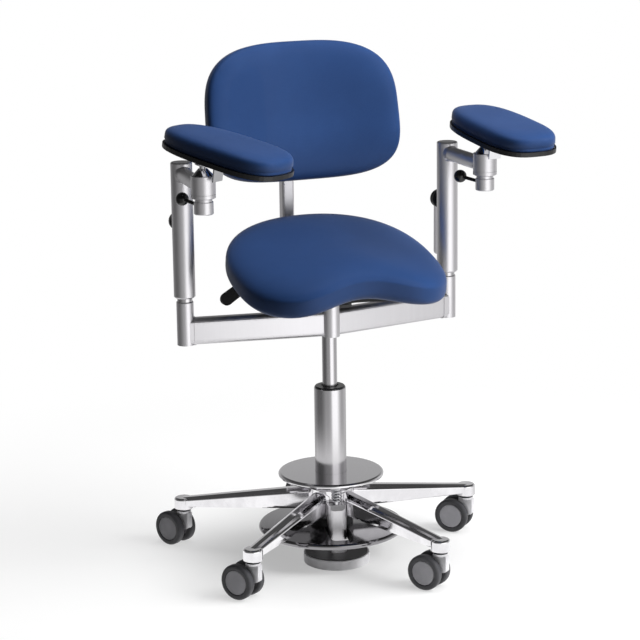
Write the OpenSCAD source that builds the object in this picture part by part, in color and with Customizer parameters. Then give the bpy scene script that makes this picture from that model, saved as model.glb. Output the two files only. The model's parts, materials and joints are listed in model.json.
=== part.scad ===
// Operating stool: saddle seat, backrest, two swivelling arm rests, a foot disc that frees
// the gas spring, and a large foot disc that sets a floor brake, on a five-legged star base.
// Sizes are in millimetres. The floor is z = 0, the column stands on the z axis and the
// sitter faces -y, so the sitter's right hand is on the -x side.

/* [Castors] */
// Diameter of a castor wheel over its tread
wheel_d = 66.4; // [56:0.1:76]
// Width of one wheel of a twin pair
wheel_w = 16.2; // [13:0.1:19]
// Clear distance between the two wheels of a pair
wheel_gap = 15.4; // [14:0.1:22]
// Diameter of the round cover on a wheel's outer face
hub_cap_d = 46; // [34:0.5:52]
// Diameter of the pin that carries both wheels
axle_d = 8; // [6:0.5:11]
// Horizontal distance from the swivel stem to the wheel pin
castor_trail = 24.1; // [18:0.1:30]
// Height of the castor fork's top above the floor
fork_h = 73.3; // [71:0.1:86]
// Diameter of the castor fork's round head
fork_head_d = 27; // [20:0.5:32]
// Height of the castor fork's round head
fork_head_h = 6.6; // [4:0.1:7]
// Thickness of the fork's web, between the wheels
fork_web = 12.4; // [9:0.1:13]
// Diameter of the swivel stem
stem_d = 11; // [9:0.5:14]
// Length of the swivel stem inside the leg
stem_l = 17; // [12:0.5:19]

/* [Star base] */
// Distance from the column to a castor stem
base_r = 292.3; // [265:0.1:330]
// Direction of the first leg, in degrees from +x
leg_turn = 2.3; // [0:0.1:20]
// Diameter of the round boss at a leg's end
leg_boss_d = 36; // [32:0.5:42]
// Height of the boss at a leg's end
leg_boss_h = 23; // [21:0.5:30]
// Width of a leg at its boss
leg_tip_w = 27; // [20:0.5:31]
// Width of a leg at the hub
leg_root_w = 38; // [30:0.5:42]
// Height of a leg at its boss
leg_tip_h = 18; // [14:0.5:20]
// Height of a leg at the hub
leg_root_h = 43; // [34:0.5:48]
// Rise of a leg's top from boss to hub
leg_rise = 37; // [25:0.5:50]
// Wall left round the hollow under a leg
leg_wall = 5; // [3:0.5:7]
// Diameter of the hub in the middle of the legs
hub_d = 88; // [80:1:90]

/* [Column] */
// Diameter of the column tube
column_d = 60; // [52:0.5:66]
// Wall of the column tube
column_wall = 3; // [2:0.5:5]
// Height of the column's lower end above the floor
column_foot_h = 44; // [38:0.5:48]
// Length of column that shows above the height disc
column_show = 165; // [120:1:220]
// Diameter of the gas spring's cylinder
gas_d = 28; // [24:0.5:32]
// Wall of the gas spring's cylinder
gas_wall = 2; // [1.5:0.1:3]
// Length of the gas spring's cylinder
gas_l = 265; // [240:1:270]
// Length of cylinder that shows between column and arm frame
gas_show = 97.5; // [95:0.5:150]
// Diameter of the piston rod inside the cylinder
rod_d = 10; // [8:0.5:12]
// Depth of the black guide bush in the column's top
bush_l = 42; // [25:1:60]

/* [Height disc] */
// Diameter of the upper foot disc
height_disc_d = 201; // [170:1:230]
// Thickness of the upper foot disc
height_disc_t = 9; // [7:0.5:12]
// Clear height between the star base and the upper foot disc
height_disc_gap = 22; // [20:0.5:32]
// Travel of the upper foot disc when it is pressed
height_stroke = 8; // [5:0.5:8]
// Outside diameter of the return spring
spring_d = 21; // [18:0.5:24]
// Diameter of the spring wire
spring_wire = 2.8; // [2:0.1:3]
// Turns of the return spring
spring_turns = 6; // [5:1:6]
// Diameter of the plunger inside the spring
plunger_d = 9; // [7:0.5:10]

/* [Foot brake] */
// Diameter of the lower foot disc
brake_disc_d = 279; // [240:1:310]
// Height of the lower foot disc's rim above the floor
brake_disc_h = 50; // [47:0.5:56]
// Height of the rolled rim
brake_rim_h = 11; // [8:0.5:12]
// Rise of the disc from rim to middle
brake_crown = 5; // [2:0.5:7]
// Thickness of the lower foot disc
brake_disc_t = 2.5; // [1.5:0.1:4]
// Lift of the brake from the floor
brake_lift = 8; // [5:0.5:9]
// Diameter of the round brake pad
brake_pad_d = 125; // [115:1:140]
// Height of the brake pad
brake_pad_h = 19; // [14:0.5:21]
// Direction of the brake post, in degrees from +x
post_turn = 258.2; // [250:0.1:262]
// Distance from the column to the brake post's middle
post_r = 56; // [54:0.5:60]
// Width of the brake post
post_w = 36; // [28:0.5:38]
// Depth of the brake post, towards the column
post_depth = 22; // [18:0.5:23]
// Height of the brake post's top above the floor
post_top_h = 114; // [105:0.5:120]

/* [Arm frame] */
// Height of the cross-bar
bar_h = 50; // [40:1:60]
// Depth of the cross-bar, front to back
bar_t = 30; // [29:0.5:36]
// Sideways distance from the column to an upright
upright_x = 268.7; // [255:0.1:300]
// Angle by which each half of the cross-bar is swept back
bar_sweep = 10; // [4:0.5:14]
// Diameter of the lower upright tubes
lower_tube_d = 32; // [31:0.5:38]
// Length of the lower upright tubes
lower_tube_l = 82; // [75:1:100]
// Diameter of the stub tube in front of the gas spring
front_tube_d = 31.5; // [28:0.5:36]
// Distance from the column axis to the stub tube's axis
front_tube_y = 11; // [9:0.5:14]

/* [Arm uprights] */
// Diameter of the inner posts
arm_post_d = 28; // [24:0.5:28.5]
// Length of inner post that shows at rest
arm_post_show = 7; // [6:0.5:20]
// Diameter of the outer sleeves
sleeve_d = 40; // [36:0.5:46]
// Length of the outer sleeves
sleeve_l = 254; // [220:1:290]
// Travel of an arm rest upwards
arm_lift = 60; // [30:1:65]
// Diameter of the horizontal arm tube
arm_tube_d = 28; // [24:0.5:32]
// Distance from the sleeve's top to the arm tube's axis
arm_tube_drop = 22; // [18:0.5:30]
// Distance from an upright to its barrel
arm_reach = 160; // [130:1:180]
// Direction of the arm on the sitter's right, in degrees from +x
right_arm_turn = -95.1; // [-110:0.1:-90]
// Direction of the arm on the sitter's left, in degrees from +x
left_arm_turn = -89.7; // [-90:0.1:-70]
// Diameter of the barrel at the arm's end
barrel_d = 44; // [38:0.5:50]
// Height of the barrel
barrel_h = 41.5; // [38:0.5:55]
// Diameter of the clamp nut below the barrel
nut_d = 35; // [30:0.5:40]
// Height of the clamp nut
nut_h = 22.5; // [18:0.5:28]
// Distance from the barrel's axis to the middle of the lever's ball
clamp_reach = 56; // [50:0.5:70]
// Diameter of the ball on the clamp lever
clamp_ball_d = 24; // [18:0.5:28]
// Diameter of the clamp lever's rod
clamp_rod_d = 6.5; // [5:0.1:9]
// Diameter of the height knob behind a sleeve
knob_d = 35; // [26:0.5:38]
// Height of the height knob above a sleeve's lower end
knob_h = 138; // [110:1:170]
// Length of the steel handle that hangs from the height knob
handle_l = 112; // [80:1:118]

/* [Arm rests] */
// Length of an arm rest's cushion
pad_l = 256; // [220:1:280]
// Width of an arm rest's cushion
pad_w = 125; // [100:1:135]
// Thickness of an arm rest's cushion
pad_t = 31; // [24:0.5:40]
// Thickness of the plate under an arm rest
plate_t = 8; // [5:0.5:10]
// Width by which the plate stands out round the cushion
plate_margin = 2.5; // [2:0.5:6]
// Distance from the barrel's axis to the middle of the arm rest
pad_forward = 52; // [40:1:75]
// Height of the plate's underside above the barrel
pad_stand = 40; // [36:0.5:46]
// Forward slope of the arm rest on the sitter's right, in degrees
right_pad_slope = 9.5; // [0:0.5:12]
// Forward slope of the arm rest on the sitter's left, in degrees
left_pad_slope = 7; // [0:0.5:12]
// Direction of the arm rest on the sitter's right, in degrees from +x
right_pad_turn = -61; // [-80:0.1:-50]
// Direction of the arm rest on the sitter's left, in degrees from +x
left_pad_turn = -85.4; // [-110:0.1:-75]

/* [Seat] */
// Width of the seat cushion
seat_w = 401.5; // [360:0.5:440]
// Length of the seat cushion in front of its widest line
seat_front_l = 177; // [150:1:200]
// Length of the seat cushion behind its widest line
seat_rear_l = 192; // [150:1:200]
// Distance of the seat's widest line in front of the column
seat_forward = 26.8; // [20:0.1:60]
// Thickness of the seat cushion
seat_t = 70.4; // [56:0.1:80]
// Drop of the seat's front corners below its middle
seat_droop = 43.5; // [20:0.5:55]
// Drop of the seat's rear corners below its middle
seat_rear_droop = 5.5; // [0:0.5:15]
// Depth of the hollow in the seat's front edge
seat_notch = 38.4; // [10:0.1:50]
// Half width of the hollow in the seat's front edge
seat_notch_w = 96.3; // [60:0.1:110]
// Forward slope of the seat, in degrees
seat_slope = 9.9; // [6:0.1:11]
// Height of the cushion's underside above the tilt pin
seat_stand = 43.5; // [37:0.5:48]

/* [Backrest] */
// Width of the backrest cushion
back_w = 387; // [340:1:430]
// Height of the backrest cushion
back_h = 263.5; // [220:0.5:300]
// Thickness of the backrest cushion
back_t = 57.5; // [45:0.5:70]
// Distance by which the backrest's sides curve forward
back_wrap = 25; // [0:1:35]
// Height of the backrest's middle above the cross-bar
back_rise = 359; // [330:1:400]
// Distance from the column to the middle of the backrest cushion
back_y = 133.6; // [115:0.1:140]
// Backward lean of the backrest, in degrees
back_lean = 9.9; // [0:0.1:12]
// Side of the square back bar
back_bar_w = 24; // [20:0.5:28]
// Distance from the column to the back bar's axis
back_bar_y = 208; // [200:1:225]

/* [Hidden] */
$fn = 64;
level_share = 0.8;
leg_count = 5;
leg_step = 360 / leg_count;

// Directions in which the five castors trail, as they stand in the photograph
castor_headings = [134.7, 125, 116.7, 123.1, 124.7];

// Clearances between pieces that turn or slide in each other, and between pieces that rest
// on each other without being fixed
run_gap = 0.05;
slide_gap = 0.3;
rest_gap = 0.3;
// Length by which a cut runs past the face that it opens
over = 1;
// Sharp edges that are broken by hand
edge = 1.5;

// Heights, from the floor up
wheel_r = wheel_d / 2;
swivel_gap = 0.7;
boss_z = fork_h + swivel_gap;
leg_tip_top = boss_z + leg_boss_h;
leg_root_top = leg_tip_top + leg_rise;
hub_z = leg_root_top - leg_root_h;
height_disc_z = leg_root_top + height_disc_gap;
height_disc_top = height_disc_z + height_disc_t;
column_top = height_disc_top + column_show;
bush_rim_h = 3;
frame_z = column_top + gas_show + bush_rim_h;
frame_top = frame_z + bar_h;
lower_tube_top = frame_z + lower_tube_l;
sleeve_z = lower_tube_top + arm_post_show;
sleeve_top = sleeve_z + sleeve_l;
arm_z = sleeve_top - arm_tube_drop;
upright_y = upright_x * tan(bar_sweep);

// Direction of the i-th of n even steps round a circle
function around(i, n) = 360 * i / n;
function sgn(v) = v < 0 ? -1 : 1;
// Power that keeps the sign of its base
function spow(v, p) = sgn(v) * pow(abs(v), p);
// Points of an arc
function arc(cx, cy, r, from, to, steps) =
    [for (i = [0:steps]) let (a = from + (to - from) * i / steps) [cx + r * cos(a), cy + r * sin(a)]];
// Outline of a rectangle with rounded corners, centred
function round_rect(w, h, r, steps = 6) = concat(
    arc(w / 2 - r, h / 2 - r, r, 0, 90, steps), arc(r - w / 2, h / 2 - r, r, 90, 180, steps),
    arc(r - w / 2, r - h / 2, r, 180, 270, steps), arc(w / 2 - r, r - h / 2, r, 270, 360, steps));

// Faces that skin a stack of closed rings, all with as many points, and close both ends
function skin_faces(rings, n) = concat(
    [for (j = [0:rings - 2], i = [0:n - 1]) [j * n + i, j * n + (i + 1) % n, (j + 1) * n + i]],
    [for (j = [0:rings - 2], i = [0:n - 1])
        [j * n + (i + 1) % n, (j + 1) * n + (i + 1) % n, (j + 1) * n + i]],
    [for (i = [0:n - 1]) [(i + 1) % n, i, rings * n]],
    [for (i = [0:n - 1]) [(rings - 1) * n + i, (rings - 1) * n + (i + 1) % n, rings * n + 1]]);
// Solid skinned over a stack of rings, with a pole point at each end
module skinned(rings, first, last) {
    polyhedron(
        points = concat([for (ring = rings) each ring], [first, last]),
        faces = skin_faces(len(rings), len(rings[0])));
}

// Castors

fork_cap_z = fork_h - fork_head_h;
pin_end_gap = 2.2;
hub_cap_wall = 3;
pin_l = wheel_gap + 2 * (wheel_w - hub_cap_wall - pin_end_gap);
fork_foot_d = 2 * axle_d;
axle_washer_d = 14;
foot_from_turn = 235;
foot_to_turn = 395;

// Places a castor with its trail along +x from the stem
module at_castor(k) {
    place = leg_turn + leg_step * k;
    translate([base_r * cos(place), base_r * sin(place), 0])
        rotate([0, 0, castor_headings[k]]) children();
}

// Side outline of the web: wide under the head, hooked down to the pin
module fork_outline() {
    polygon(concat(
        [[-fork_head_d / 2, fork_cap_z], [-fork_head_d / 2, fork_cap_z - fork_head_h]],
        arc(castor_trail, wheel_r, fork_foot_d / 2, foot_from_turn, foot_to_turn, 12),
        [[fork_head_d / 2, fork_cap_z - fork_head_h], [fork_head_d / 2, fork_cap_z]]));
}

module castor_fork(k) color("gainsboro") at_castor(k) {
    // Head and swivel stem
    translate([0, 0, fork_cap_z]) cylinder(d = fork_head_d, h = fork_head_h);
    translate([0, 0, fork_h]) cylinder(d = stem_d, h = stem_l);
    // Web between the wheels
    rotate([90, 0, 0]) translate([0, 0, -fork_web / 2]) linear_extrude(fork_web) fork_outline();
    // Boss and pin for the wheels
    translate([castor_trail, 0, wheel_r]) rotate([90, 0, 0]) {
        cylinder(d = axle_washer_d, h = wheel_gap - 2 * rest_gap, center = true);
        cylinder(d = axle_d, h = pin_l, center = true);
    }
}

tread_r = 4;
cap_dish = 1.2;
wheel_inner_d = 20;
wheel_recess = 3;

// Half section of a wheel, from its pin outwards. The cover side is at the top.
function wheel_profile() = concat(
    [[0, wheel_w - hub_cap_wall - pin_end_gap / 2], [0, wheel_w - cap_dish],
     [hub_cap_d / 2 - cap_dish, wheel_w - cap_dish / 2], [hub_cap_d / 2, wheel_w - cap_dish],
     [hub_cap_d / 2 + cap_dish, wheel_w - cap_dish / 2]],
    arc(wheel_r - tread_r, wheel_w - tread_r, tread_r, 80, 0, 5),
    arc(wheel_r - tread_r, tread_r, tread_r, 0, -90, 5),
    [[hub_cap_d / 2, 0], [hub_cap_d / 2 - cap_dish, wheel_recess],
     [wheel_inner_d / 2 + cap_dish, wheel_recess], [wheel_inner_d / 2, 0],
     [axle_d / 2 + run_gap, 0], [axle_d / 2 + run_gap, wheel_w - hub_cap_wall - pin_end_gap / 2]]);

// side is 1 for the wheel on the left of the trail and -1 for the other
module castor_wheel(k, side) color("dimgray") at_castor(k)
    translate([castor_trail, side * wheel_gap / 2, wheel_r]) rotate([-side * 90, 0, 0])
        rotate_extrude() polygon(wheel_profile());

// Star base

ridge_share = 0.34;
ridge_shoulder_share = 0.16;
leg_draft_share = 0.9;
leg_root_r = 34;
hub_lip = 1;
leg_slab = 1;
leg_corner = 3;
web_r = 50;
web_wave = 20;
web_inset = 8;
post_clear = 1.5;
boss_top_r = 4;

// Cross-section of a leg: flat ridge, sloping shoulders, drafted sides. Its top is y = 0.
module leg_section(w, h) {
    polygon(concat(
        [[-w * ridge_share / 2, 0], [-w / 2 + leg_corner, -h * ridge_shoulder_share + leg_corner / 2]],
        arc(-w / 2 + leg_corner, -h * ridge_shoulder_share - leg_corner, leg_corner, 120, 180, 3),
        arc(-w * leg_draft_share / 2 + leg_corner, -h + leg_corner, leg_corner, 180, 270, 3),
        arc(w * leg_draft_share / 2 - leg_corner, -h + leg_corner, leg_corner, 270, 360, 3),
        arc(w / 2 - leg_corner, -h * ridge_shoulder_share - leg_corner, leg_corner, 0, 60, 3),
        [[w / 2 - leg_corner, -h * ridge_shoulder_share + leg_corner / 2], [w * ridge_share / 2, 0]]));
}

// Stands a leg's section across the leg, at the distance r from the column
module across_leg(r, z) {
    translate([r, 0, z]) rotate([90, 0, 90]) linear_extrude(leg_slab) children();
}

module leg() {
    hull() {
        across_leg(leg_root_r, leg_root_top) leg_section(leg_root_w, leg_root_h);
        across_leg(base_r, leg_tip_top) leg_section(leg_tip_w, leg_tip_h);
    }
}

// Round boss with a softened top, over the castor stem
module leg_boss() {
    translate([base_r, 0, boss_z]) rotate_extrude()
        polygon(concat([[0, 0], [leg_boss_d / 2 - edge, 0], [leg_boss_d / 2, edge]],
            arc(leg_boss_d / 2 - boss_top_r, leg_boss_h - boss_top_r, boss_top_r, 0, 90, 5),
            [[0, leg_boss_h]]));
}

pocket_from = 78;
pocket_share = 0.62;

// Hollow under a leg, following its top at an even wall
module leg_pocket() {
    far = base_r - leg_boss_d / 2 - leg_wall;
    near_top = leg_root_top - leg_rise * (pocket_from - leg_root_r) / (base_r - leg_root_r);
    far_top = leg_root_top - leg_rise * (far - leg_root_r) / (base_r - leg_root_r);
    w = leg_tip_w * pocket_share;
    translate([0, w / 2, 0]) rotate([90, 0, 0]) linear_extrude(w) polygon([
        [pocket_from, boss_z - over], [far, boss_z - over],
        [far, far_top - 2 * leg_wall], [pocket_from, near_top - 2 * leg_wall]]);
}

// Plan of the web that fills the corners between the legs
function web_plan() = [for (a = [0:4:356])
    let (r = web_r + web_wave * cos(leg_count * (a - leg_turn))) [r * cos(a), r * sin(a)]];

module star_base() color("silver") difference() {
    union() {
        translate([0, 0, hub_z - hub_lip]) cylinder(d = hub_d, h = leg_root_h + 2 * hub_lip);
        translate([0, 0, hub_z + web_inset]) linear_extrude(leg_root_h - 2 * web_inset) polygon(web_plan());
        for (k = [0:leg_count - 1]) rotate([0, 0, leg_turn + leg_step * k]) {
            leg();
            leg_boss();
        }
    }
    // Bore for the column
    translate([0, 0, hub_z - hub_lip - over])
        cylinder(d = column_d + 2 * run_gap, h = leg_root_h + 2 * hub_lip + 2 * over);
    for (k = [0:leg_count - 1]) rotate([0, 0, leg_turn + leg_step * k]) {
        leg_pocket();
        translate([base_r, 0, boss_z - over])
            cylinder(d = stem_d + 2 * run_gap, h = stem_l + swivel_gap + over);
    }
    // Room for the brake post, which slides in front of the hub
    at_post() translate([0, 0, hub_z - hub_lip - over]) linear_extrude(leg_root_h + 2 * hub_lip + 2 * over)
        offset_post(post_clear);
}

// Column and gas spring

anchor_h = 6;
bush_rim = 1.2;
bush_ring = 2;
piston_h = 12;
piston_gap = 0.2;
gas_floor = 10;
gas_crown = 14;
gas_z = frame_z - gas_l;
gas_bore_d = gas_d - 2 * gas_wall;
neck_d = 22;
neck_l = bar_h - 4;

module column_tube() color("silver") translate([0, 0, column_foot_h]) rotate_extrude() polygon([
    [column_d / 2 - column_wall, 0], [column_d / 2 - edge / 2, 0], [column_d / 2, edge / 2],
    [column_d / 2, column_top - column_foot_h - edge / 2],
    [column_d / 2 - edge / 2, column_top - column_foot_h],
    [column_d / 2 - column_wall, column_top - column_foot_h]]);

// Black guide bush: a stepped rim on the tube and a long sleeve inside it
module column_bush() color("black") translate([0, 0, column_top]) rotate_extrude() polygon([
    [gas_d / 2 + run_gap, -bush_l], [column_d / 2 - column_wall - run_gap, -bush_l],
    [column_d / 2 - column_wall - run_gap, 0], [column_d / 2 - bush_rim, 0],
    [column_d / 2 - bush_rim, bush_rim_h - edge], [column_d / 2 - bush_rim - edge, bush_rim_h],
    [gas_d / 2 + bush_ring + edge, bush_rim_h], [gas_d / 2 + bush_ring, bush_rim_h - edge],
    [gas_d / 2 + run_gap, bush_rim_h - edge]]);

// Rod, anchored in the column's foot, with its piston halfway up the cylinder's bore
piston_z = (gas_z + gas_floor + frame_z - gas_crown - piston_h) / 2;
module piston_rod() color("lightgray") {
    translate([0, 0, column_foot_h])
        cylinder(d = column_d - 2 * column_wall - 2 * run_gap, h = anchor_h);
    translate([0, 0, column_foot_h]) cylinder(d = rod_d, h = piston_z - column_foot_h + piston_h / 2);
    translate([0, 0, piston_z]) cylinder(d = gas_bore_d - 2 * piston_gap, h = piston_h);
}

// Cylinder with a guided lower end, a closed top and the neck that the arm frame turns on
module gas_cylinder() color("gainsboro") difference() {
    union() {
        translate([0, 0, gas_z]) cylinder(d = gas_d, h = gas_l - swivel_gap);
        translate([0, 0, gas_z + gas_l - swivel_gap - edge]) cylinder(d = neck_d, h = neck_l + edge);
    }
    translate([0, 0, gas_z + gas_floor]) cylinder(d = gas_bore_d, h = gas_l - gas_floor - gas_crown);
    translate([0, 0, gas_z - over]) cylinder(d = rod_d + 2 * piston_gap, h = gas_floor + 2 * over);
}

// Height disc, its plunger and the return spring

disc_rim_r = height_disc_t / 2;
disc_sleeve_w = 6;
disc_sleeve_h = 12;
spring_l = height_disc_z - post_top_h;

// Disc with a rounded rim, and a sleeve that slides on the column
module height_disc() color("silver") translate([0, 0, height_disc_z]) rotate_extrude() polygon(concat(
    [[column_d / 2 + slide_gap, -disc_sleeve_h], [column_d / 2 + disc_sleeve_w, -disc_sleeve_h],
     [column_d / 2 + disc_sleeve_w, 0]],
    arc(height_disc_d / 2 - disc_rim_r, disc_rim_r, disc_rim_r, -90, 90, 8),
    [[column_d / 2 + slide_gap, height_disc_t]]));

plunger_in = 20;
plunger_l = spring_l + plunger_in;
plunger_head_d = 14;
plunger_head_h = 3;

module at_post() { rotate([0, 0, post_turn]) translate([post_r, 0, 0]) rotate([0, 0, 90]) children(); }

module height_plunger() color("silver") at_post() translate([0, 0, height_disc_z - plunger_l]) {
    cylinder(d = plunger_d, h = plunger_l);
    translate([0, 0, plunger_l - plunger_head_h]) cylinder(d = plunger_head_d, h = plunger_head_h);
}

// Return spring: one unbroken wire, wound round the plunger, with its ends turned upright
spring_sides = 6;
spring_rings = 8;
spring_r = (spring_d - spring_wire) / 2;
spring_end = spring_wire;
spring_bend = 1.4;
spring_bend_share = 0.6;
bend_rise = spring_bend * spring_bend_share;
spring_wind = spring_l - 2 * spring_end - 2 * spring_bend;
spring_steps = spring_turns * spring_rings;
spring_pitch = spring_wind / spring_turns;
spring_slope = atan(spring_pitch / (2 * PI * spring_r));
// Point and direction of the wire at a step of the winding
function spring_at(i) = let (a = around(i, spring_rings))
    [spring_r * cos(a), spring_r * sin(a), spring_end + spring_bend + spring_wind * i / spring_steps];
// Ring of the wire at a step: its spokes lie across the wire's slope
function spring_ring(i, slope, z) = let (a = around(i, spring_rings), c = spring_at(i)) [
    for (j = [0:spring_sides - 1]) let (b = around(j, spring_sides), r = spring_wire / 2)
        [c[0] + r * cos(b) * cos(a) + r * sin(b) * sin(slope) * sin(a),
         c[1] + r * cos(b) * sin(a) - r * sin(b) * sin(slope) * cos(a),
         z + r * sin(b) * cos(slope)]];
spring_ring_list = concat(
    [spring_ring(0, 90, 0), spring_ring(0, 90, spring_end),
     spring_ring(0, (90 + spring_slope) / 2, spring_end + bend_rise)],
    [for (i = [1:spring_steps - 1]) spring_ring(i, spring_slope, spring_at(i)[2])],
    [spring_ring(spring_steps, (90 + spring_slope) / 2, spring_l - spring_end - bend_rise),
     spring_ring(spring_steps, 90, spring_l - spring_end), spring_ring(spring_steps, 90, spring_l)]);
// Least distance between one turn's surface and the next
spring_self_gap = min([for (i = [0:spring_steps - spring_rings])
    norm(spring_at(i + spring_rings) - spring_at(i)) * cos(spring_slope) - spring_wire]);
echo(spring_self_gap = spring_self_gap);

module height_spring() color("lightgray") at_post() translate([0, 0, post_top_h])
    skinned(spring_ring_list, [spring_r, 0, 0], [spring_r, 0, spring_l]);

// Foot brake

collar_d = 84;
collar_h = 13;
brake_plate_t = 2.2;
// Distance from the column to the middle of the brake pad
pad_r = 48.8;
brake_plate_inset = 3.5;
rim_wall_r = brake_rim_h / 2;
disc_flat_r = 46;
post_corner = 10;
post_foot_z = brake_pad_h + brake_plate_t;
post_bore_gap = 0.3;
post_chamfer_drop = 12;
post_lean = 5;
post_ear = 4;
shoulder_w = 28;
shoulder_gap = 2;
slot_w = 44;
slot_reach = 118;
slot_corner = 12;
slot_from = post_r - post_depth / 2 - rest_gap;

// Plan of the brake post: flat towards the column, rounded in front. Its front is -y.
module offset_post(extra) {
    polygon(concat(
        [[post_w / 2 + extra, post_depth / 2 + extra], [-post_w / 2 - extra, post_depth / 2 + extra]],
        arc(-post_w / 2 + post_corner, -post_depth / 2 + post_corner, post_corner + extra, 180, 270, 6),
        arc(post_w / 2 - post_corner, -post_depth / 2 + post_corner, post_corner + extra, 270, 360, 6)));
}

brake_rim_z = brake_disc_h;
brake_flat_z = brake_disc_h + brake_rim_h + brake_crown;

// Dished steel disc: flat middle, gentle crown, rim rolled under
module brake_disc() color("silver") difference() {
    rotate_extrude() polygon(concat(
        [[column_d / 2 + slide_gap, brake_flat_z], [disc_flat_r, brake_flat_z]],
        arc(brake_disc_d / 2 - rim_wall_r, brake_rim_z + rim_wall_r, rim_wall_r, 80, -90, 10),
        arc(brake_disc_d / 2 - rim_wall_r, brake_rim_z + rim_wall_r, rim_wall_r - brake_disc_t, -90, 75, 8),
        [[disc_flat_r, brake_flat_z - brake_disc_t],
         [column_d / 2 + slide_gap, brake_flat_z - brake_disc_t]]));
    // Slot in front of the column, in which the post stands
    rotate([0, 0, post_turn]) translate([0, 0, brake_rim_z - over])
        linear_extrude(brake_rim_h + brake_crown + 2 * over) polygon(concat(
            [[slot_from, slot_w / 2], [slot_from, -slot_w / 2]],
            arc(slot_reach - slot_corner, slot_corner - slot_w / 2, slot_corner, 270, 360, 6),
            arc(slot_reach - slot_corner, slot_w / 2 - slot_corner, slot_corner, 0, 90, 6)));
}

module brake_collar() color("black") translate([0, 0, brake_flat_z]) rotate_extrude() polygon([
    [column_d / 2 + slide_gap, 0], [collar_d / 2, 0], [collar_d / 2, collar_h - edge],
    [collar_d / 2 - edge, collar_h], [column_d / 2 + slide_gap, collar_h]]);

post_head_slope = 62;
// Post between the brake pad and the spring, sloped in front, with a blind hole for the plunger
module brake_post() color("lightgray") at_post() difference() {
    union() {
        intersection() {
            translate([0, 0, post_foot_z]) linear_extrude(post_top_h - post_foot_z) offset_post(0);
            // One side leans in towards the foot
            rotate([90, 0, 0]) translate([0, 0, -post_depth]) linear_extrude(2 * post_depth) polygon([
                [post_lean - post_w / 2, post_foot_z - over], [post_w / 2 + over, post_foot_z - over],
                [post_w / 2 + over, post_top_h + over], [-post_w / 2 - edge, post_top_h + over]]);
        }
        // Shoulder behind the post that carries the lower disc
        translate([-shoulder_w / 2, 0, post_foot_z])
            cube([shoulder_w, post_r - column_d / 2 - shoulder_gap,
                  brake_flat_z - brake_disc_t - rest_gap - post_foot_z]);
    }
    // Sloping front of the head, between two ears
    translate([0, -post_depth / 2 - over, post_top_h - post_chamfer_drop])
        rotate([post_head_slope, 0, 0]) translate([post_ear - post_w / 2, -post_depth, 0])
            cube([post_w - 2 * post_ear, 2 * post_depth, 2 * post_chamfer_drop]);
    translate([0, 0, post_top_h - plunger_in - brake_lift - height_stroke - over])
        cylinder(d = plunger_d + 2 * post_bore_gap, h = plunger_in + brake_lift + height_stroke + 2 * over);
}

module brake_plate() color("black") translate([0, 0, brake_pad_h])
    rotate([0, 0, post_turn]) translate([pad_r, 0, 0])
        cylinder(d = brake_pad_d - 2 * brake_plate_inset, h = brake_plate_t);

// Rubber pad with a softened lower edge
module brake_pad() color("dimgray") rotate([0, 0, post_turn]) translate([pad_r, 0, 0])
    rotate_extrude() polygon([[0, 0], [brake_pad_d / 2 - 2 * edge, 0], [brake_pad_d / 2, edge],
        [brake_pad_d / 2, brake_pad_h - edge / 2], [brake_pad_d / 2 - edge / 2, brake_pad_h],
        [0, brake_pad_h]]);

// Arm frame

bar_corner = 10;
weld_h = 1.4;
weld_l = 4;
tube_floor = 3;
front_tube_up = 12;
front_tube_lift = 0.5;
tube_drop = 0.5;
upright_l = upright_x / cos(bar_sweep);

module bar_half(side) {
    rotate([0, 0, side < 0 ? 180 - bar_sweep : bar_sweep]) {
        translate([0, 0, frame_z + bar_h / 2]) rotate([90, 0, 90])
            linear_extrude(upright_l) polygon(round_rect(bar_t, bar_h, bar_corner));
        // Weld bead where the bar meets the upright
        translate([upright_l - lower_tube_d / 2 - weld_l / 2, 0, frame_z + bar_h / 2]) rotate([90, 0, 90])
            linear_extrude(weld_l)
                polygon(round_rect(bar_t + 2 * weld_h, bar_h + 2 * weld_h, bar_corner + weld_h));
    }
}

module arm_frame() color("silver") difference() {
    union() {
        bar_half(-1);
        bar_half(1);
        translate([0, -front_tube_y, frame_z + front_tube_lift])
            cylinder(d = front_tube_d, h = bar_h - front_tube_lift + front_tube_up);
        for (side = [-1, 1]) translate([side * upright_x, upright_y, frame_z]) {
            translate([0, 0, -tube_drop]) cylinder(d = lower_tube_d, h = lower_tube_l + tube_drop - edge);
            translate([0, 0, lower_tube_l - edge])
                cylinder(d1 = lower_tube_d, d2 = lower_tube_d - edge, h = edge);
        }
    }
    // Socket for the gas spring's neck
    translate([0, 0, frame_z - over]) cylinder(d = neck_d + 2 * run_gap, h = neck_l + 2 * over);
    for (side = [-1, 1]) translate([side * upright_x, upright_y, frame_z + tube_floor])
        cylinder(d = arm_post_d + 2 * run_gap, h = lower_tube_l);
}

// Seat mechanism, bracket, shell and cushion

mech_w = 90;
mech_front = 4;
mech_rear = 78;
mech_plate_t = 6;
cheek_t = 6;
cheek_w = 30;
tilt_pin_d = 12;
tilt_rise = 27;
tilt_z = frame_top + tilt_rise;
mech_inside = mech_w - 2 * cheek_t;
tongue_w = 40;
tongue_t = 10;
clamp_wall = 6;
tongue_rear = back_bar_y - clamp_wall - back_bar_w / 2;
mech_screw_d = 11;
mech_screw_h = 4;

module at_tilt() { translate([0, 0, tilt_z]) rotate([seat_slope, 0, 0]) children(); }

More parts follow.
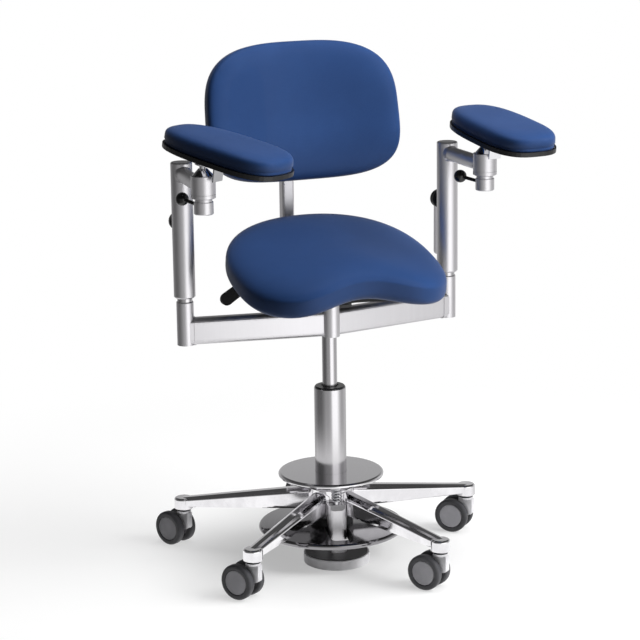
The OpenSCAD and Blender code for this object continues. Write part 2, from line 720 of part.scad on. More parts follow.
// Base plate on the cross-bar with two cheeks, the tilt pin and four screw heads
module seat_mechanism() color("dimgray") difference() {
    union() {
        translate([-mech_w / 2, -mech_front, frame_top]) cube([mech_w, mech_front + mech_rear, mech_plate_t]);
        for (side = [-1, 1]) translate([side * (mech_w - cheek_t) / 2 - cheek_t / 2, 0, 0])
            rotate([90, 0, 90]) linear_extrude(cheek_t) polygon(concat(
                [[mech_rear, frame_top], [mech_rear, frame_top + mech_plate_t + cheek_t]],
                arc(0, tilt_z, cheek_w / 2, 60, 120, 6),
                [[-mech_front, frame_top + mech_plate_t + cheek_t], [-mech_front, frame_top]]));
        translate([0, 0, tilt_z]) rotate([0, 90, 0]) cylinder(d = tilt_pin_d, h = mech_w, center = true);
        for (side = [-1, 1], y = [mech_rear / 2, mech_rear - mech_screw_d])
            translate([side * (mech_inside / 2 - mech_screw_d), y, frame_top + mech_plate_t])
                cylinder(d = mech_screw_d, h = mech_screw_h);
    }
    // Clearance for the stub tube
    translate([0, -front_tube_y, frame_top - over])
        cylinder(d = front_tube_d + 2 * slide_gap, h = front_tube_up + 2 * over);
}

bracket_t = 5;
bracket_l = 120;
bracket_w = mech_inside - 2 * rest_gap;
shell_t = 4;
shell_foot = 6.5;
bracket_top = seat_stand - rest_gap - shell_t - shell_foot;
ear_t = 8;
ear_r = 12;
ear_root_share = 0.33;
ear_turn = 20;

// Bracket under the seat, hung on the tilt pin by two ears
module seat_bracket() color("dimgray") at_tilt() difference() {
    union() {
        translate([-bracket_w / 2, -bracket_l / 2, bracket_top - bracket_t])
            cube([bracket_w, bracket_l, bracket_t]);
        for (side = [-1, 1]) translate([side * (bracket_w - ear_t) / 2 - ear_t / 2, 0, 0]) rotate([90, 0, 90])
            linear_extrude(ear_t) polygon(concat(
                [[-bracket_l * ear_root_share, bracket_top - bracket_t / 2]],
                arc(0, 0, ear_r, 180 + ear_turn, 360 - ear_turn, 10),
                [[bracket_l * ear_root_share, bracket_top - bracket_t / 2]]));
    }
    rotate([0, 90, 0]) cylinder(d = tilt_pin_d + 2 * run_gap, h = bracket_w + 2 * over, center = true);
}

seat_front_share = 0.775;
seat_rear_share = 0.85;
seat_round_share = 0.556;
seat_notch_share = 2.25;
saddle_share = 0.26;
seat_around = 48;
seat_levels = 11;
seat_y = -seat_forward;
seat_rise = 6.2;
seat_curl = 4.3;
// Plan edge of the seat in the direction a, from its widest line
function seat_edge(a) = let (rear = sin(a) >= 0, n = rear ? seat_rear_share : seat_front_share,
    x = seat_w / 2 * spow(cos(a), n)) [x, (rear ? seat_rear_l : seat_front_l) * spow(sin(a), n)
        + (rear ? 0 : seat_notch * exp(-pow(abs(x) / seat_notch_w, seat_notch_share)))];
// Fall of the saddle's sides, 0 along its middle and 1 at its widest
function saddle_fall(x) = (norm([2 * x / seat_w, saddle_share]) - saddle_share)
    / (norm([1, saddle_share]) - saddle_share);
// Height of the seat's middle surface, with t from -1 in front to 1 at the rear
function seat_mid(x, t) = seat_rise * pow(max(t, 0), 2) - seat_curl * pow(max(-t, 0), 2)
    - (seat_rear_droop + (seat_droop - seat_rear_droop) * (1 - t) / 2) * saddle_fall(x);
// Point of the cushion's surface: direction a, and w from -90 (underside) to 90 (top).
// down lowers it, for the surfaces of the shell.
function seat_pt(a, w, down = 0) = let (e = seat_edge(a), rho = pow(cos(w), seat_round_share),
    x = rho * e[0], y = rho * e[1], t = y / (y < 0 ? seat_front_l : seat_rear_l))
    [x, seat_y + y, seat_stand + seat_mid(x, t)
        + seat_t / 2 * (1 + spow(sin(w), seat_round_share)) - down];
// Levels crowd towards the poles so that the flat faces stay even
function seat_level(j, levels) = 90 * spow((2 * j + 1) / levels - 1, level_share);

module seat_cushion() color("royalblue") at_tilt() skinned(
    [for (j = [0:seat_levels * 2 - 1]) [for (i = [0:seat_around - 1])
        seat_pt(around(i, seat_around), seat_level(j, seat_levels * 2))]],
    seat_pt(0, -90), seat_pt(0, 90));

shell_levels = 5;
// Moulded shell: its top follows the cushion's underside, its foot is flat for the bracket
function shell_low(p) = [p[0], p[1], min(p[2] - shell_t, abs(p[0]) < mech_w ? bracket_top : p[2])];

module seat_shell() color("black") at_tilt() skinned(concat(
    [for (j = [0:shell_levels - 1]) [for (i = [0:seat_around - 1])
        shell_low(seat_pt(around(i, seat_around), seat_level(j, seat_levels * 2), rest_gap))]],
    [for (j = [shell_levels - 1:-1:0]) [for (i = [0:seat_around - 1])
        seat_pt(around(i, seat_around), seat_level(j, seat_levels * 2), rest_gap)]]),
    shell_low(seat_pt(0, -90, rest_gap)), seat_pt(0, -90, rest_gap));

lever_y = 35;
lever_rod_d = 8;
lever_rod_l = 118;
lever_rise = 11.2;
lever_hub_d = 16;
lever_z = frame_top + mech_plate_t + lever_hub_d;
paddle_w = 23;
paddle_l = 38;
paddle_t = 9;
paddle_turn = 32;

// Black paddle on a steel rod, hinged on the mechanism's right cheek
module tilt_lever() color("black") translate([-mech_w / 2, lever_y, lever_z]) {
    translate([-lever_hub_d / 2, 0, 0]) {
        rotate([90, 0, 0]) cylinder(d = lever_hub_d, h = lever_hub_d, center = true);
        rotate([0, lever_rise - 90, 0]) cylinder(d = lever_rod_d, h = lever_rod_l);
    }
    translate([-lever_hub_d / 2 - lever_rod_l * cos(lever_rise), 0, lever_rod_l * sin(lever_rise)])
        rotate([0, -paddle_turn, 0]) rotate([90, 0, 0])
        translate([0, 0, -paddle_t / 2]) linear_extrude(paddle_t) polygon(concat(
            arc(0, 0, paddle_w / 2, -70, 70, 6),
            arc(-paddle_l + paddle_w / 2, 0, paddle_w / 2, 90, 270, 10)));
}

// Backrest

clamp_h = 52;
clamp_z = frame_top;
back_knob_d = 40;
back_knob_l = 18;
back_knob_stem_d = 8;
back_pivot_drop = 6;
bar_head_r = 14;
back_z = frame_top + back_rise;
back_pivot_y = back_bar_y - back_bar_w / 2 + bar_head_r - edge;
// Distance from the backrest's middle back to its pivot, square to the leaning backrest
back_pivot_in = (back_pivot_y - back_y + back_pivot_drop * sin(back_lean)) / cos(back_lean);
back_pivot_z = back_z - back_pivot_in * sin(back_lean) - back_pivot_drop * cos(back_lean);
back_bar_corner = 5;
clamp_w = back_bar_w + 2 * clamp_wall;
back_bar_down = 6;
back_bar_z = clamp_z - back_bar_down;
back_pin_d = 10;
back_pin_l = 52;

// Tongue from the mechanism to the clamp that holds the back bar
module back_clamp() color("dimgray") difference() {
    union() {
        translate([-tongue_w / 2, mech_rear, frame_top])
            cube([tongue_w, tongue_rear - mech_rear + edge, tongue_t]);
        translate([0, back_bar_y, clamp_z]) linear_extrude(clamp_h)
            polygon(round_rect(clamp_w, clamp_w, back_bar_corner + clamp_wall));
    }
    translate([0, back_bar_y, clamp_z - over]) linear_extrude(clamp_h + 2 * over)
        polygon(round_rect(back_bar_w + 2 * slide_gap, back_bar_w + 2 * slide_gap, back_bar_corner));
    translate([0, back_bar_y, clamp_z + clamp_h / 2]) rotate([-90, 0, 0])
        cylinder(d = back_knob_stem_d + 2 * run_gap, h = back_bar_w + clamp_wall);
}

lobes = 6;
lobe_share = 0.08;
// Outline of a hand knob with soft lobes
function knob_outline(d) = [for (a = [0:6:354])
    let (r = d / 2 * (1 - lobe_share / 2 + lobe_share / 2 * cos(lobes * a))) [r * cos(a), r * sin(a)]];

module back_knob() color("black")
    translate([0, back_bar_y + back_bar_w / 2, clamp_z + clamp_h / 2]) rotate([-90, 0, 0]) {
        translate([0, 0, slide_gap + rest_gap]) cylinder(d = back_knob_stem_d, h = clamp_wall + edge);
        translate([0, 0, clamp_wall + slide_gap + rest_gap + edge])
            linear_extrude(back_knob_l) polygon(knob_outline(back_knob_d));
    }

// Square chromed bar, with the cross pin that the backrest pivots on
module back_bar() color("gainsboro") {
    translate([0, back_bar_y, back_bar_z]) linear_extrude(back_pivot_z - back_bar_z)
        polygon(round_rect(back_bar_w, back_bar_w, back_bar_corner));
    translate([0, back_pivot_y, back_pivot_z]) rotate([0, 90, 0]) {
        cylinder(r = bar_head_r, h = back_bar_w, center = true);
        cylinder(d = back_pin_d, h = back_pin_l, center = true);
    }
}

// Places a piece in the leaning backrest's own frame, with its middle at the origin
module at_back() { translate([0, back_y, back_z]) rotate([-back_lean, 0, 0]) children(); }

back_top_share = 0.669;
back_low_share = 0.524;
back_round_share = 0.513;
back_taper_share = 0.05;
back_around = 48;
back_levels = 9;
back_wrap_share = 0.3;
// Point of the backrest cushion: direction a round its edge, w from -90 (front) to 90 (rear)
function back_pt(a, w, rear = 0) = let (rho = pow(cos(w), back_round_share),
    n = sin(a) > 0 ? back_top_share : back_low_share, z = rho * back_h / 2 * spow(sin(a), n),
    x = rho * back_w / 2 * spow(cos(a), n) * (1 - back_taper_share * z / back_h))
    [x, back_t / 2 * spow(sin(w), back_round_share) + rear
        - back_wrap * (pow(2 * x / back_w, 2) - back_wrap_share), z];

module back_cushion() color("royalblue") at_back() skinned(
    [for (j = [0:back_levels * 2 - 1]) [for (i = [0:back_around - 1])
        back_pt(around(i, back_around), seat_level(back_levels * 2 - 1 - j, back_levels * 2))]],
    back_pt(0, 90), back_pt(0, -90));

back_shell_t = 5;
back_plate_t = 4;
back_plate_w = 78;
back_plate_h = 84;
back_ear_t = 7;
back_shell_flat = back_wrap * back_wrap_share + back_t / 2 + rest_gap + back_shell_t;
// The shell's rear is flat where the pivot bracket is screwed on
function back_low(p) = [p[0],
    max(p[1] + back_shell_t, abs(p[0]) < back_plate_w ? back_shell_flat : p[1]), p[2]];

module back_shell() color("black") at_back() skinned(concat(
    [for (j = [0:shell_levels - 1]) [for (i = [0:back_around - 1])
        back_low(back_pt(around(i, back_around), -seat_level(j, back_levels * 2), rest_gap))]],
    [for (j = [shell_levels - 1:-1:0]) [for (i = [0:back_around - 1])
        back_pt(around(i, back_around), -seat_level(j, back_levels * 2), rest_gap)]]),
    back_low(back_pt(0, 90, rest_gap)), back_pt(0, 90, rest_gap));

// Plate on the shell, with two ears on the bar's cross pin
module back_bracket() color("dimgray") at_back() difference() {
    union() {
        translate([-back_plate_w / 2, back_shell_flat, -back_plate_h / 2])
            cube([back_plate_w, back_plate_t, back_plate_h]);
        for (side = [-1, 1])
            translate([side * (back_bar_w + back_ear_t + 2 * rest_gap) / 2 - back_ear_t / 2, 0, -back_pivot_drop])
            rotate([90, 0, 90]) linear_extrude(back_ear_t) polygon(concat(
                [[back_shell_flat + back_plate_t / 2, -back_plate_h * ear_root_share]],
                arc(back_pivot_in, 0, bar_head_r, -70, 70, 10),
                [[back_shell_flat + back_plate_t / 2, back_plate_h * ear_root_share]]));
    }
    translate([0, back_pivot_in, -back_pivot_drop]) rotate([0, 90, 0])
        cylinder(d = back_pin_d + 2 * run_gap, h = back_plate_w, center = true);
}

// Arm rests. side is -1 for the sitter's right arm and 1 for the left.

function arm_turn(side) = side < 0 ? right_arm_turn : left_arm_turn;
function pad_turn(side) = side < 0 ? right_pad_turn : left_pad_turn;
function pad_slope(side) = side < 0 ? right_pad_slope : left_pad_slope;
module at_upright(side) { translate([side * upright_x, upright_y, 0]) children(); }
// Places a piece with the arm along +x from the upright
module along_arm(side) { at_upright(side) rotate([0, 0, arm_turn(side)]) children(); }
module at_barrel(side) { along_arm(side) translate([arm_reach, 0, 0]) children(); }

arm_post_in = 72;
arm_post_hold = 145;
arm_post_up = arm_post_hold + arm_lift;
arm_drop = 5;
barrel_rise = 22.2;
barrel_top = arm_z + barrel_rise;
barrel_z = barrel_top - barrel_h;
groove_h = 1.4;
groove_depth = 1;
groove_up = 7.4;
spindle_d = 16;
cone_h = 12;
cone_inset = 3;
neck_ball_d = 12;
ball_d = 19;
pad_pin_d = 5;
ball_rise = 23;
ball_z = barrel_top + ball_rise;
nut_gap = 5.6;
nut_z = barrel_z - nut_gap - nut_h;
nut_floor = 4;
collar_step = 2;

module arm_post(side) color("gainsboro") at_upright(side)
    translate([0, 0, lower_tube_top - arm_post_in])
        cylinder(d = arm_post_d, h = arm_post_in + arm_post_show + arm_post_up);

// Sleeve, horizontal tube and barrel, welded into one piece
module arm_sleeve(side) color("silver") difference() {
    union() {
        at_upright(side) translate([0, 0, sleeve_z]) rotate_extrude() polygon(concat(
            [[0, 0], [sleeve_d / 2 - 2 * edge, 0], [sleeve_d / 2, 2 * edge]],
            arc(sleeve_d / 2 - 2 * edge, sleeve_l - 2 * edge, 2 * edge, 0, 90, 4), [[0, sleeve_l]]));
        along_arm(side) translate([0, 0, arm_z]) rotate([0, 90, 0]) cylinder(d = arm_tube_d, h = arm_reach);
        // Weld bead round the tube's root
        along_arm(side) translate([sleeve_d / 2 - weld_l, 0, arm_z]) rotate([0, 90, 0])
            cylinder(d1 = arm_tube_d + 4 * weld_h, d2 = arm_tube_d, h = 2 * weld_l);
        at_barrel(side) translate([0, 0, barrel_z]) rotate_extrude() polygon([
            [0, 0], [barrel_d / 2 - 2 * edge, 0], [barrel_d / 2, edge],
            [barrel_d / 2, groove_up], [barrel_d / 2 - groove_depth, groove_up],
            [barrel_d / 2 - groove_depth, groove_up + groove_h], [barrel_d / 2, groove_up + groove_h],
            [barrel_d / 2, barrel_h - edge / 2], [barrel_d / 2 - edge / 2, barrel_h], [0, barrel_h]]);
    }
    // Bore for the inner post, and for the spindle
    at_upright(side) translate([0, 0, sleeve_z - over])
        cylinder(d = arm_post_d + 2 * run_gap, h = arm_post_up + arm_drop + rest_gap + over);
    at_barrel(side) translate([0, 0, barrel_z - over])
        cylinder(d = spindle_d + 2 * run_gap, h = barrel_h + 2 * over);
    // Threaded hole for the height knob
    along_arm(side) translate([0, 0, sleeve_z + knob_h]) rotate([0, -90, 0])
        cylinder(d = knob_stem_d + 2 * run_gap, h = sleeve_d);
}

knob_stem_d = 8;
knob_stand = 4;
knob_t = 18;
handle_w = 14;
handle_t = 4;

// Black knob that clamps the sleeve on its post, opposite the arm
module height_knob(side) color("black")
    along_arm(side) translate([0, 0, sleeve_z + knob_h]) rotate([0, -90, 0]) {
    translate([0, 0, arm_post_d / 2 + 2 * rest_gap])
        cylinder(d = knob_stem_d, h = sleeve_d / 2 + knob_stand + knob_t - arm_post_d / 2 - 2 * rest_gap);
    translate([0, 0, sleeve_d / 2 + knob_stand]) rotate_extrude() polygon(concat(
        [[0, 0], [knob_d / 2 - 2 * edge, 0]],
        [[knob_d / 2, 2 * edge]],
        arc(knob_d / 2 - 2 * edge, knob_t - 2 * edge, 2 * edge, 0, 90, 4), [[0, knob_t]]));
}

// Steel handle that hangs from the knob's face and turns with it
module height_handle(side) color("silver") along_arm(side)
    translate([-sleeve_d / 2 - knob_stand - knob_t, 0, sleeve_z + knob_h]) rotate([0, -90, 0])
        linear_extrude(handle_t) polygon(concat(
            arc(0, 0, handle_w / 2 + edge, -50, 50, 6),
            arc(-handle_l + handle_w / 2, 0, handle_w / 2, 90, 270, 8)));

module clamp_nut(side) color("silver") at_barrel(side) translate([0, 0, nut_z]) difference() {
    rotate_extrude() polygon([[0, 0], [nut_d / 2 - edge, 0], [nut_d / 2, edge],
        [nut_d / 2, nut_h - edge / 2], [nut_d / 2 - edge / 2, nut_h],
        [nut_d / 2 - collar_step, nut_h], [nut_d / 2 - collar_step, nut_h + nut_gap - rest_gap],
        [spindle_d / 2 + run_gap, nut_h + nut_gap - rest_gap],
        [spindle_d / 2 + run_gap, nut_floor], [0, nut_floor]]);
    rotate([0, 0, clamp_turn]) translate([0, 0, clamp_up]) rotate([0, 90 - clamp_slope, 0])
        cylinder(d = clamp_rod_d + 2 * run_gap, h = nut_d);
}

// Direction of the clamp levers at rest, from the arm, and their slope
clamp_turn = 209;
clamp_slope = 8;
clamp_up = 13;
clamp_root = spindle_d / 2 + 3;

// Rod with a black ball, screwed into the nut
module clamp_lever(side) color("black") at_barrel(side) translate([0, 0, nut_z + clamp_up])
    rotate([0, 0, clamp_turn]) rotate([0, 90 - clamp_slope, 0]) {
        translate([0, 0, clamp_root]) cylinder(d = clamp_rod_d, h = clamp_reach - clamp_root);
        translate([0, 0, clamp_reach]) sphere(d = clamp_ball_d);
    }

// Spindle through the barrel, with a cone that rests on it, a neck and the ball on top
module pad_spindle(side) color("dimgray") at_barrel(side) {
    translate([0, 0, nut_z + nut_floor + rest_gap])
        cylinder(d = spindle_d, h = barrel_top + cone_h - nut_z - nut_floor - rest_gap);
    translate([0, 0, barrel_top + rest_gap])
        cylinder(d1 = barrel_d - 2 * cone_inset, d2 = spindle_d, h = cone_h);
    translate([0, 0, barrel_top + rest_gap + cone_h - edge])
        cylinder(d = neck_ball_d, h = ball_rise - cone_h);
    translate([0, 0, ball_z]) {
        sphere(d = ball_d);
        // Pin through the ball, on which the arm rest tilts
        rotate([0, 0, pad_turn(side) - arm_turn(side)]) rotate([90, 0, 0])
            cylinder(d = pad_pin_d, h = socket_d - edge, center = true);
    }
}

pad_z = barrel_top + pad_stand;
// Places a piece in an arm rest's own frame: the ball's centre, +x forward along the pad
module at_pad(side) {
    at_barrel(side) translate([0, 0, ball_z]) rotate([0, 0, pad_turn(side) - arm_turn(side)])
        rotate([0, pad_slope(side), 0]) children();
}
pad_up = pad_z - ball_z;
socket_d = 28;
socket_depth = 4;
flange_w = 40;
flange_l = 84;
flange_t = 3;
tab_x = 36;
tab_w = 25;
tab_h = 42;

// Socket over the ball's upper half, with a flange under the plate and a stop tab in front
module pad_socket(side) color("gainsboro") at_pad(side) difference() {
    union() {
        translate([0, 0, -socket_depth]) cylinder(d = socket_d, h = pad_up + socket_depth);
        translate([0, 0, pad_up - flange_t]) linear_extrude(flange_t)
            polygon(round_rect(flange_l, flange_w, edge));
        translate([tab_x, -tab_w / 2, pad_up - tab_h]) cube([flange_t, tab_w, tab_h]);
    }
    sphere(d = ball_d + 2 * run_gap);
    rotate([90, 0, 0]) cylinder(d = pad_pin_d + 2 * run_gap, h = socket_d + over, center = true);
    translate([0, 0, -socket_depth - over]) cylinder(d = ball_d + 2 * run_gap, h = socket_depth + over);
}

pad_around = 48;
pad_levels = 6;
pad_rear_share = 0.62;
pad_rear_round_share = 0.714;
pad_front_round_share = 0.69;
pad_round_share = 0.4;
pad_draw = 1.5;
knob_foot_d = 12;
knob_foot_h = 3;
foot_inset = 24;
// Plan outline of an arm rest in the direction a: a long rounded rear and a squarer front
function pad_edge(a, grow) = let (n = cos(a) > 0 ? pad_front_round_share : pad_rear_round_share,
    half = (cos(a) > 0 ? pad_l * (1 - pad_rear_share) : pad_l * pad_rear_share) + grow)
    [pad_forward + pad_l * (pad_rear_share - 1 / 2) + half * spow(cos(a), n),
     (pad_w / 2 + grow) * spow(sin(a), n)];

// Black plate with a small foot screw under its front
module pad_plate(side) color("black") at_pad(side) translate([0, 0, pad_up]) {
    linear_extrude(plate_t)
        polygon([for (i = [0:pad_around - 1]) pad_edge(around(i, pad_around), plate_margin)]);
    translate([pad_forward + pad_l / 2 - foot_inset, 0, -knob_foot_h])
        cylinder(d1 = knob_foot_d / 2, d2 = knob_foot_d, h = knob_foot_h);
}

pad_base = 8;
pad_low = pad_up + plate_t + rest_gap;
// Point of an arm rest's cushion: s is 0 at the top of its upright side and 1 at the crown
function pad_pt(i, s) = let (w = 90 * s, rho = pow(cos(w), pad_round_share),
    e = pad_edge(around(i, pad_around), -pad_draw * sin(2 * w)))
    [pad_forward + (e[0] - pad_forward) * rho, e[1] * rho,
     pad_low + pad_base + (pad_t - pad_base) * pow(sin(w), pad_round_share)];

module arm_pad(side) color("royalblue") at_pad(side) skinned(concat(
    [[for (i = [0:pad_around - 1])
        let (p = pad_edge(around(i, pad_around), -pad_draw)) [p[0], p[1], pad_low]]],
    [for (j = [0:pad_levels * 2 - 1]) [for (i = [0:pad_around - 1])
        pad_pt(i, pow(j / (pad_levels * 2), level_share))]]),
    [pad_forward, 0, pad_low], [pad_forward, 0, pad_low + pad_t]);

// One line for each piece
castor_fork(0);  // castor_fork_1
castor_fork(1);  // castor_fork_2
castor_fork(2);  // castor_fork_3
castor_fork(3);  // castor_fork_4
castor_fork(4);  // castor_fork_5
castor_wheel(0, 1);  // castor_wheel_1_left
castor_wheel(1, 1);  // castor_wheel_2_left
castor_wheel(2, 1);  // castor_wheel_3_left
castor_wheel(3, 1);  // castor_wheel_4_left
castor_wheel(4, 1);  // castor_wheel_5_left
castor_wheel(0, -1);  // castor_wheel_1_right
castor_wheel(1, -1);  // castor_wheel_2_right
castor_wheel(2, -1);  // castor_wheel_3_right
castor_wheel(3, -1);  // castor_wheel_4_right
castor_wheel(4, -1);  // castor_wheel_5_right
star_base();
column_tube();
column_bush();
piston_rod();
height_disc();
height_plunger();
height_spring();
brake_disc();
brake_collar();
brake_post();
brake_plate();
brake_pad();
gas_cylinder();
arm_frame();
seat_mechanism();
seat_bracket();
seat_shell();
seat_cushion();
tilt_lever();
back_clamp();
back_knob();
back_bar();
back_bracket();
back_shell();
back_cushion();
arm_post(-1);  // right_arm_post
arm_sleeve(-1);  // right_arm_sleeve
height_knob(-1);  // right_height_knob
height_handle(-1);  // right_height_handle
clamp_nut(-1);  // right_clamp_nut
clamp_lever(-1);  // right_clamp_lever
pad_spindle(-1);  // right_pad_spindle
pad_socket(-1);  // right_pad_socket
pad_plate(-1);  // right_pad_plate
arm_pad(-1);  // right_arm_pad
arm_post(1);  // left_arm_post
arm_sleeve(1);  // left_arm_sleeve
height_knob(1);  // left_height_knob
height_handle(1);  // left_height_handle
clamp_nut(1);  // left_clamp_nut
clamp_lever(1);  // left_clamp_lever
pad_spindle(1);  // left_pad_spindle
pad_socket(1);  // left_pad_socket
pad_plate(1);  // left_pad_plate
arm_pad(1);  // left_arm_pad
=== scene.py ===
"""Operating stool: blue leatherette cushions on a polished five-legged frame with swivelling arm rests."""

import json
from math import radians

import bpy
import numpy as np
from mathutils import Matrix, Vector


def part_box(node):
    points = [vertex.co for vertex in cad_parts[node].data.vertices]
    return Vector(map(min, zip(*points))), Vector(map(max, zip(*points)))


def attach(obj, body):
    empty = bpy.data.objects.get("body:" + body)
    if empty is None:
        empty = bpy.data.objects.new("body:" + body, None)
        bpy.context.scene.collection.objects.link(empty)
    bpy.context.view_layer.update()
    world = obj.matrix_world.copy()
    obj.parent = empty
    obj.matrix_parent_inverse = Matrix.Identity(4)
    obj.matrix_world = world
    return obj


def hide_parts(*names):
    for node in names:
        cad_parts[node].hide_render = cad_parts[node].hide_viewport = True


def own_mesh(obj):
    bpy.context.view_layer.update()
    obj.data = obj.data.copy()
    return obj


MM = 0.001
TAU = 2 * np.pi

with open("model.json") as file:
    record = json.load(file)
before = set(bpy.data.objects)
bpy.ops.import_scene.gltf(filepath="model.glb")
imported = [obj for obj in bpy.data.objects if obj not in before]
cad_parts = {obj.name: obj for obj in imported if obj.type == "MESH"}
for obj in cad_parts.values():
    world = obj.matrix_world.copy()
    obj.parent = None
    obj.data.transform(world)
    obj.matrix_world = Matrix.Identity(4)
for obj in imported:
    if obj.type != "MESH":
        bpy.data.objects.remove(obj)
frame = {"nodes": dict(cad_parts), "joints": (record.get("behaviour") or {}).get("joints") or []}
NODES = frame["nodes"]
JOINTS = {joint["name"]: joint for joint in frame["joints"]}
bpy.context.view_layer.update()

# Camera

# Place in metres, and turns in degrees
CAMERA_PLACE = (-1.5849, -3.8325, 1.4339)
CAMERA_TURN = -22.233
CAMERA_DROP = 13.218
CAMERA_ROLL = -0.764
LENS = 127.34
SENSOR = 36.0


def place_camera():
    """Stands the camera at the photograph's viewpoint: a turn, a drop below level and a slight roll."""
    data = bpy.data.cameras.new("camera")
    data.lens, data.sensor_width, data.sensor_fit = LENS, SENSOR, "HORIZONTAL"
    camera = bpy.data.objects.new("camera", data)
    bpy.context.scene.collection.objects.link(camera)
    turn = Matrix.Rotation(radians(CAMERA_TURN), 4, "Z")
    drop = Matrix.Rotation(radians(90 - CAMERA_DROP), 4, "X")
    roll = Matrix.Rotation(radians(CAMERA_ROLL), 4, "Z")
    camera.matrix_world = Matrix.Translation(CAMERA_PLACE) @ turn @ drop @ roll
    bpy.context.scene.camera = camera


place_camera()

# Shader groups


def new_group(name, inputs, outputs):
    """Starts a shader group with named sockets and gives its nodes, links, and its two ends."""
    group = bpy.data.node_groups.new(name, "ShaderNodeTree")
    for socket, kind, value in inputs:
        made = group.interface.new_socket(socket, in_out="INPUT", socket_type=kind)
        if value is not None:
            made.default_value = value
    for socket, kind in outputs:
        group.interface.new_socket(socket, in_out="OUTPUT", socket_type=kind)
    start = group.nodes.new("NodeGroupInput")
    end = group.nodes.new("NodeGroupOutput")
    return group, start, end


def add(tree, kind, settings=None, **inputs):
    """Adds a node, sets its properties and values, and links each input that is a socket.

    An input is given by its name, or by i and its number."""
    node = tree.nodes.new(kind)
    for name, value in (settings or {}).items():
        setattr(node, name, value)
    for name, value in inputs.items():
        by_number = name[0] == "i" and name[1:].isdigit()
        socket = node.inputs[int(name[1:]) if by_number else name]
        if isinstance(value, bpy.types.NodeSocket):
            tree.links.new(value, socket)
        else:
            socket.default_value = value
    return node


def make_leather_grain():
    """Pebbles of a leatherette: distance to the crease between jittered cells, broken up by fine noise."""
    group, start, end = new_group(
        "leather_grain",
        [("Vector", "NodeSocketVector", None), ("Pebbles", "NodeSocketFloat", 900.0),
         ("Softness", "NodeSocketFloat", 0.35)],
        [("Height", "NodeSocketFloat"), ("Crease", "NodeSocketFloat")],
    )
    cells = add(group, "ShaderNodeTexVoronoi", {"feature": "DISTANCE_TO_EDGE"},
                Vector=start.outputs["Vector"], Scale=start.outputs["Pebbles"], Randomness=0.9)
    crease = add(group, "ShaderNodeMapRange", {"interpolation_type": "SMOOTHSTEP"},
                 Value=cells.outputs["Distance"])
    group.links.new(start.outputs["Softness"], crease.inputs["From Max"])
    fine = add(group, "ShaderNodeTexNoise", Vector=start.outputs["Vector"], Scale=2600.0, Detail=2.0)
    height = add(group, "ShaderNodeMath", {"operation": "MULTIPLY_ADD"},
                 i0=fine.outputs["Fac"], i1=0.35, i2=crease.outputs["Result"])
    group.links.new(height.outputs[0], end.inputs["Height"])
    group.links.new(crease.outputs["Result"], end.inputs["Crease"])
    return group


def make_fine_lines():
    """Lines of a brushed or turned metal: noise stretched by the vector that comes in, in two widths."""
    group, start, end = new_group(
        "fine_lines",
        [("Vector", "NodeSocketVector", None), ("Lines", "NodeSocketFloat", 1.0)],
        [("Height", "NodeSocketFloat"), ("Tone", "NodeSocketFloat")],
    )
    fine = add(group, "ShaderNodeTexNoise", Vector=start.outputs["Vector"], Scale=start.outputs["Lines"],
               Detail=3.0, Roughness=0.7)
    wide = add(group, "ShaderNodeMath", {"operation": "MULTIPLY"}, i0=start.outputs["Lines"], i1=0.17)
    broad = add(group, "ShaderNodeTexNoise", Vector=start.outputs["Vector"], Scale=wide.outputs[0],
                Detail=2.0)
    tone = add(group, "ShaderNodeMath", {"operation": "MULTIPLY_ADD"},
               i0=broad.outputs["Fac"], i1=0.6, i2=0.2)
    group.links.new(fine.outputs["Fac"], end.inputs["Height"])
    group.links.new(tone.outputs[0], end.inputs["Tone"])
    return group


def make_handling():
    """Traces of use: soft cloudy patches, from 0 to 1."""
    group, start, end = new_group(
        "handling",
        [("Vector", "NodeSocketVector", None), ("Patches", "NodeSocketFloat", 9.0)],
        [("Patches", "NodeSocketFloat")],
    )
    cloud = add(group, "ShaderNodeTexNoise", Vector=start.outputs["Vector"], Scale=start.outputs["Patches"],
                Detail=4.0, Roughness=0.6)
    patch = add(group, "ShaderNodeMapRange", {"interpolation_type": "SMOOTHSTEP"},
                Value=cloud.outputs["Fac"], i1=0.38, i2=0.68)
    group.links.new(patch.outputs["Result"], end.inputs["Patches"])
    return group


def make_turned_coordinate():
    """Coordinate for a face turned about the z axis: the distance from the axis, then the height."""
    group, start, end = new_group(
        "turned_coordinate",
        [("Vector", "NodeSocketVector", None)],
        [("Vector", "NodeSocketVector")],
    )
    flat = add(group, "ShaderNodeVectorMath", {"operation": "MULTIPLY"}, i0=start.outputs["Vector"])
    flat.inputs[1].default_value = (1, 1, 0)
    far = add(group, "ShaderNodeVectorMath", {"operation": "LENGTH"}, i0=flat.outputs["Vector"])
    parts = add(group, "ShaderNodeSeparateXYZ", Vector=start.outputs["Vector"])
    joined = add(group, "ShaderNodeCombineXYZ", X=far.outputs["Value"], Z=parts.outputs["Z"])
    group.links.new(joined.outputs["Vector"], end.inputs["Vector"])
    return group


LEATHER_GRAIN = make_leather_grain()
FINE_LINES = make_fine_lines()
HANDLING = make_handling()
TURNED = make_turned_coordinate()

# Materials


def new_material(name, **constants):
    """Starts a material with its shader's constants set, and gives it, its tree, shader and place vector."""
    material = bpy.data.materials.new(name)
    material.use_nodes = True
    tree = material.node_tree
    shader = tree.nodes["Principled BSDF"]
    for socket, value in constants.items():
        shader.inputs[socket.replace("_", " ")].default_value = value
    place = tree.nodes.new("ShaderNodeTexCoord").outputs["Object"]
    return material, tree, shader, place


def use_group(tree, group, **inputs):
    """Adds a shader group to a tree, with its inputs set or linked by name."""
    node = tree.nodes.new("ShaderNodeGroup")
    node.node_tree = group
    for name, value in inputs.items():
        if isinstance(value, bpy.types.NodeSocket):
            tree.links.new(value, node.inputs[name])
        else:
            node.inputs[name].default_value = value
    return node


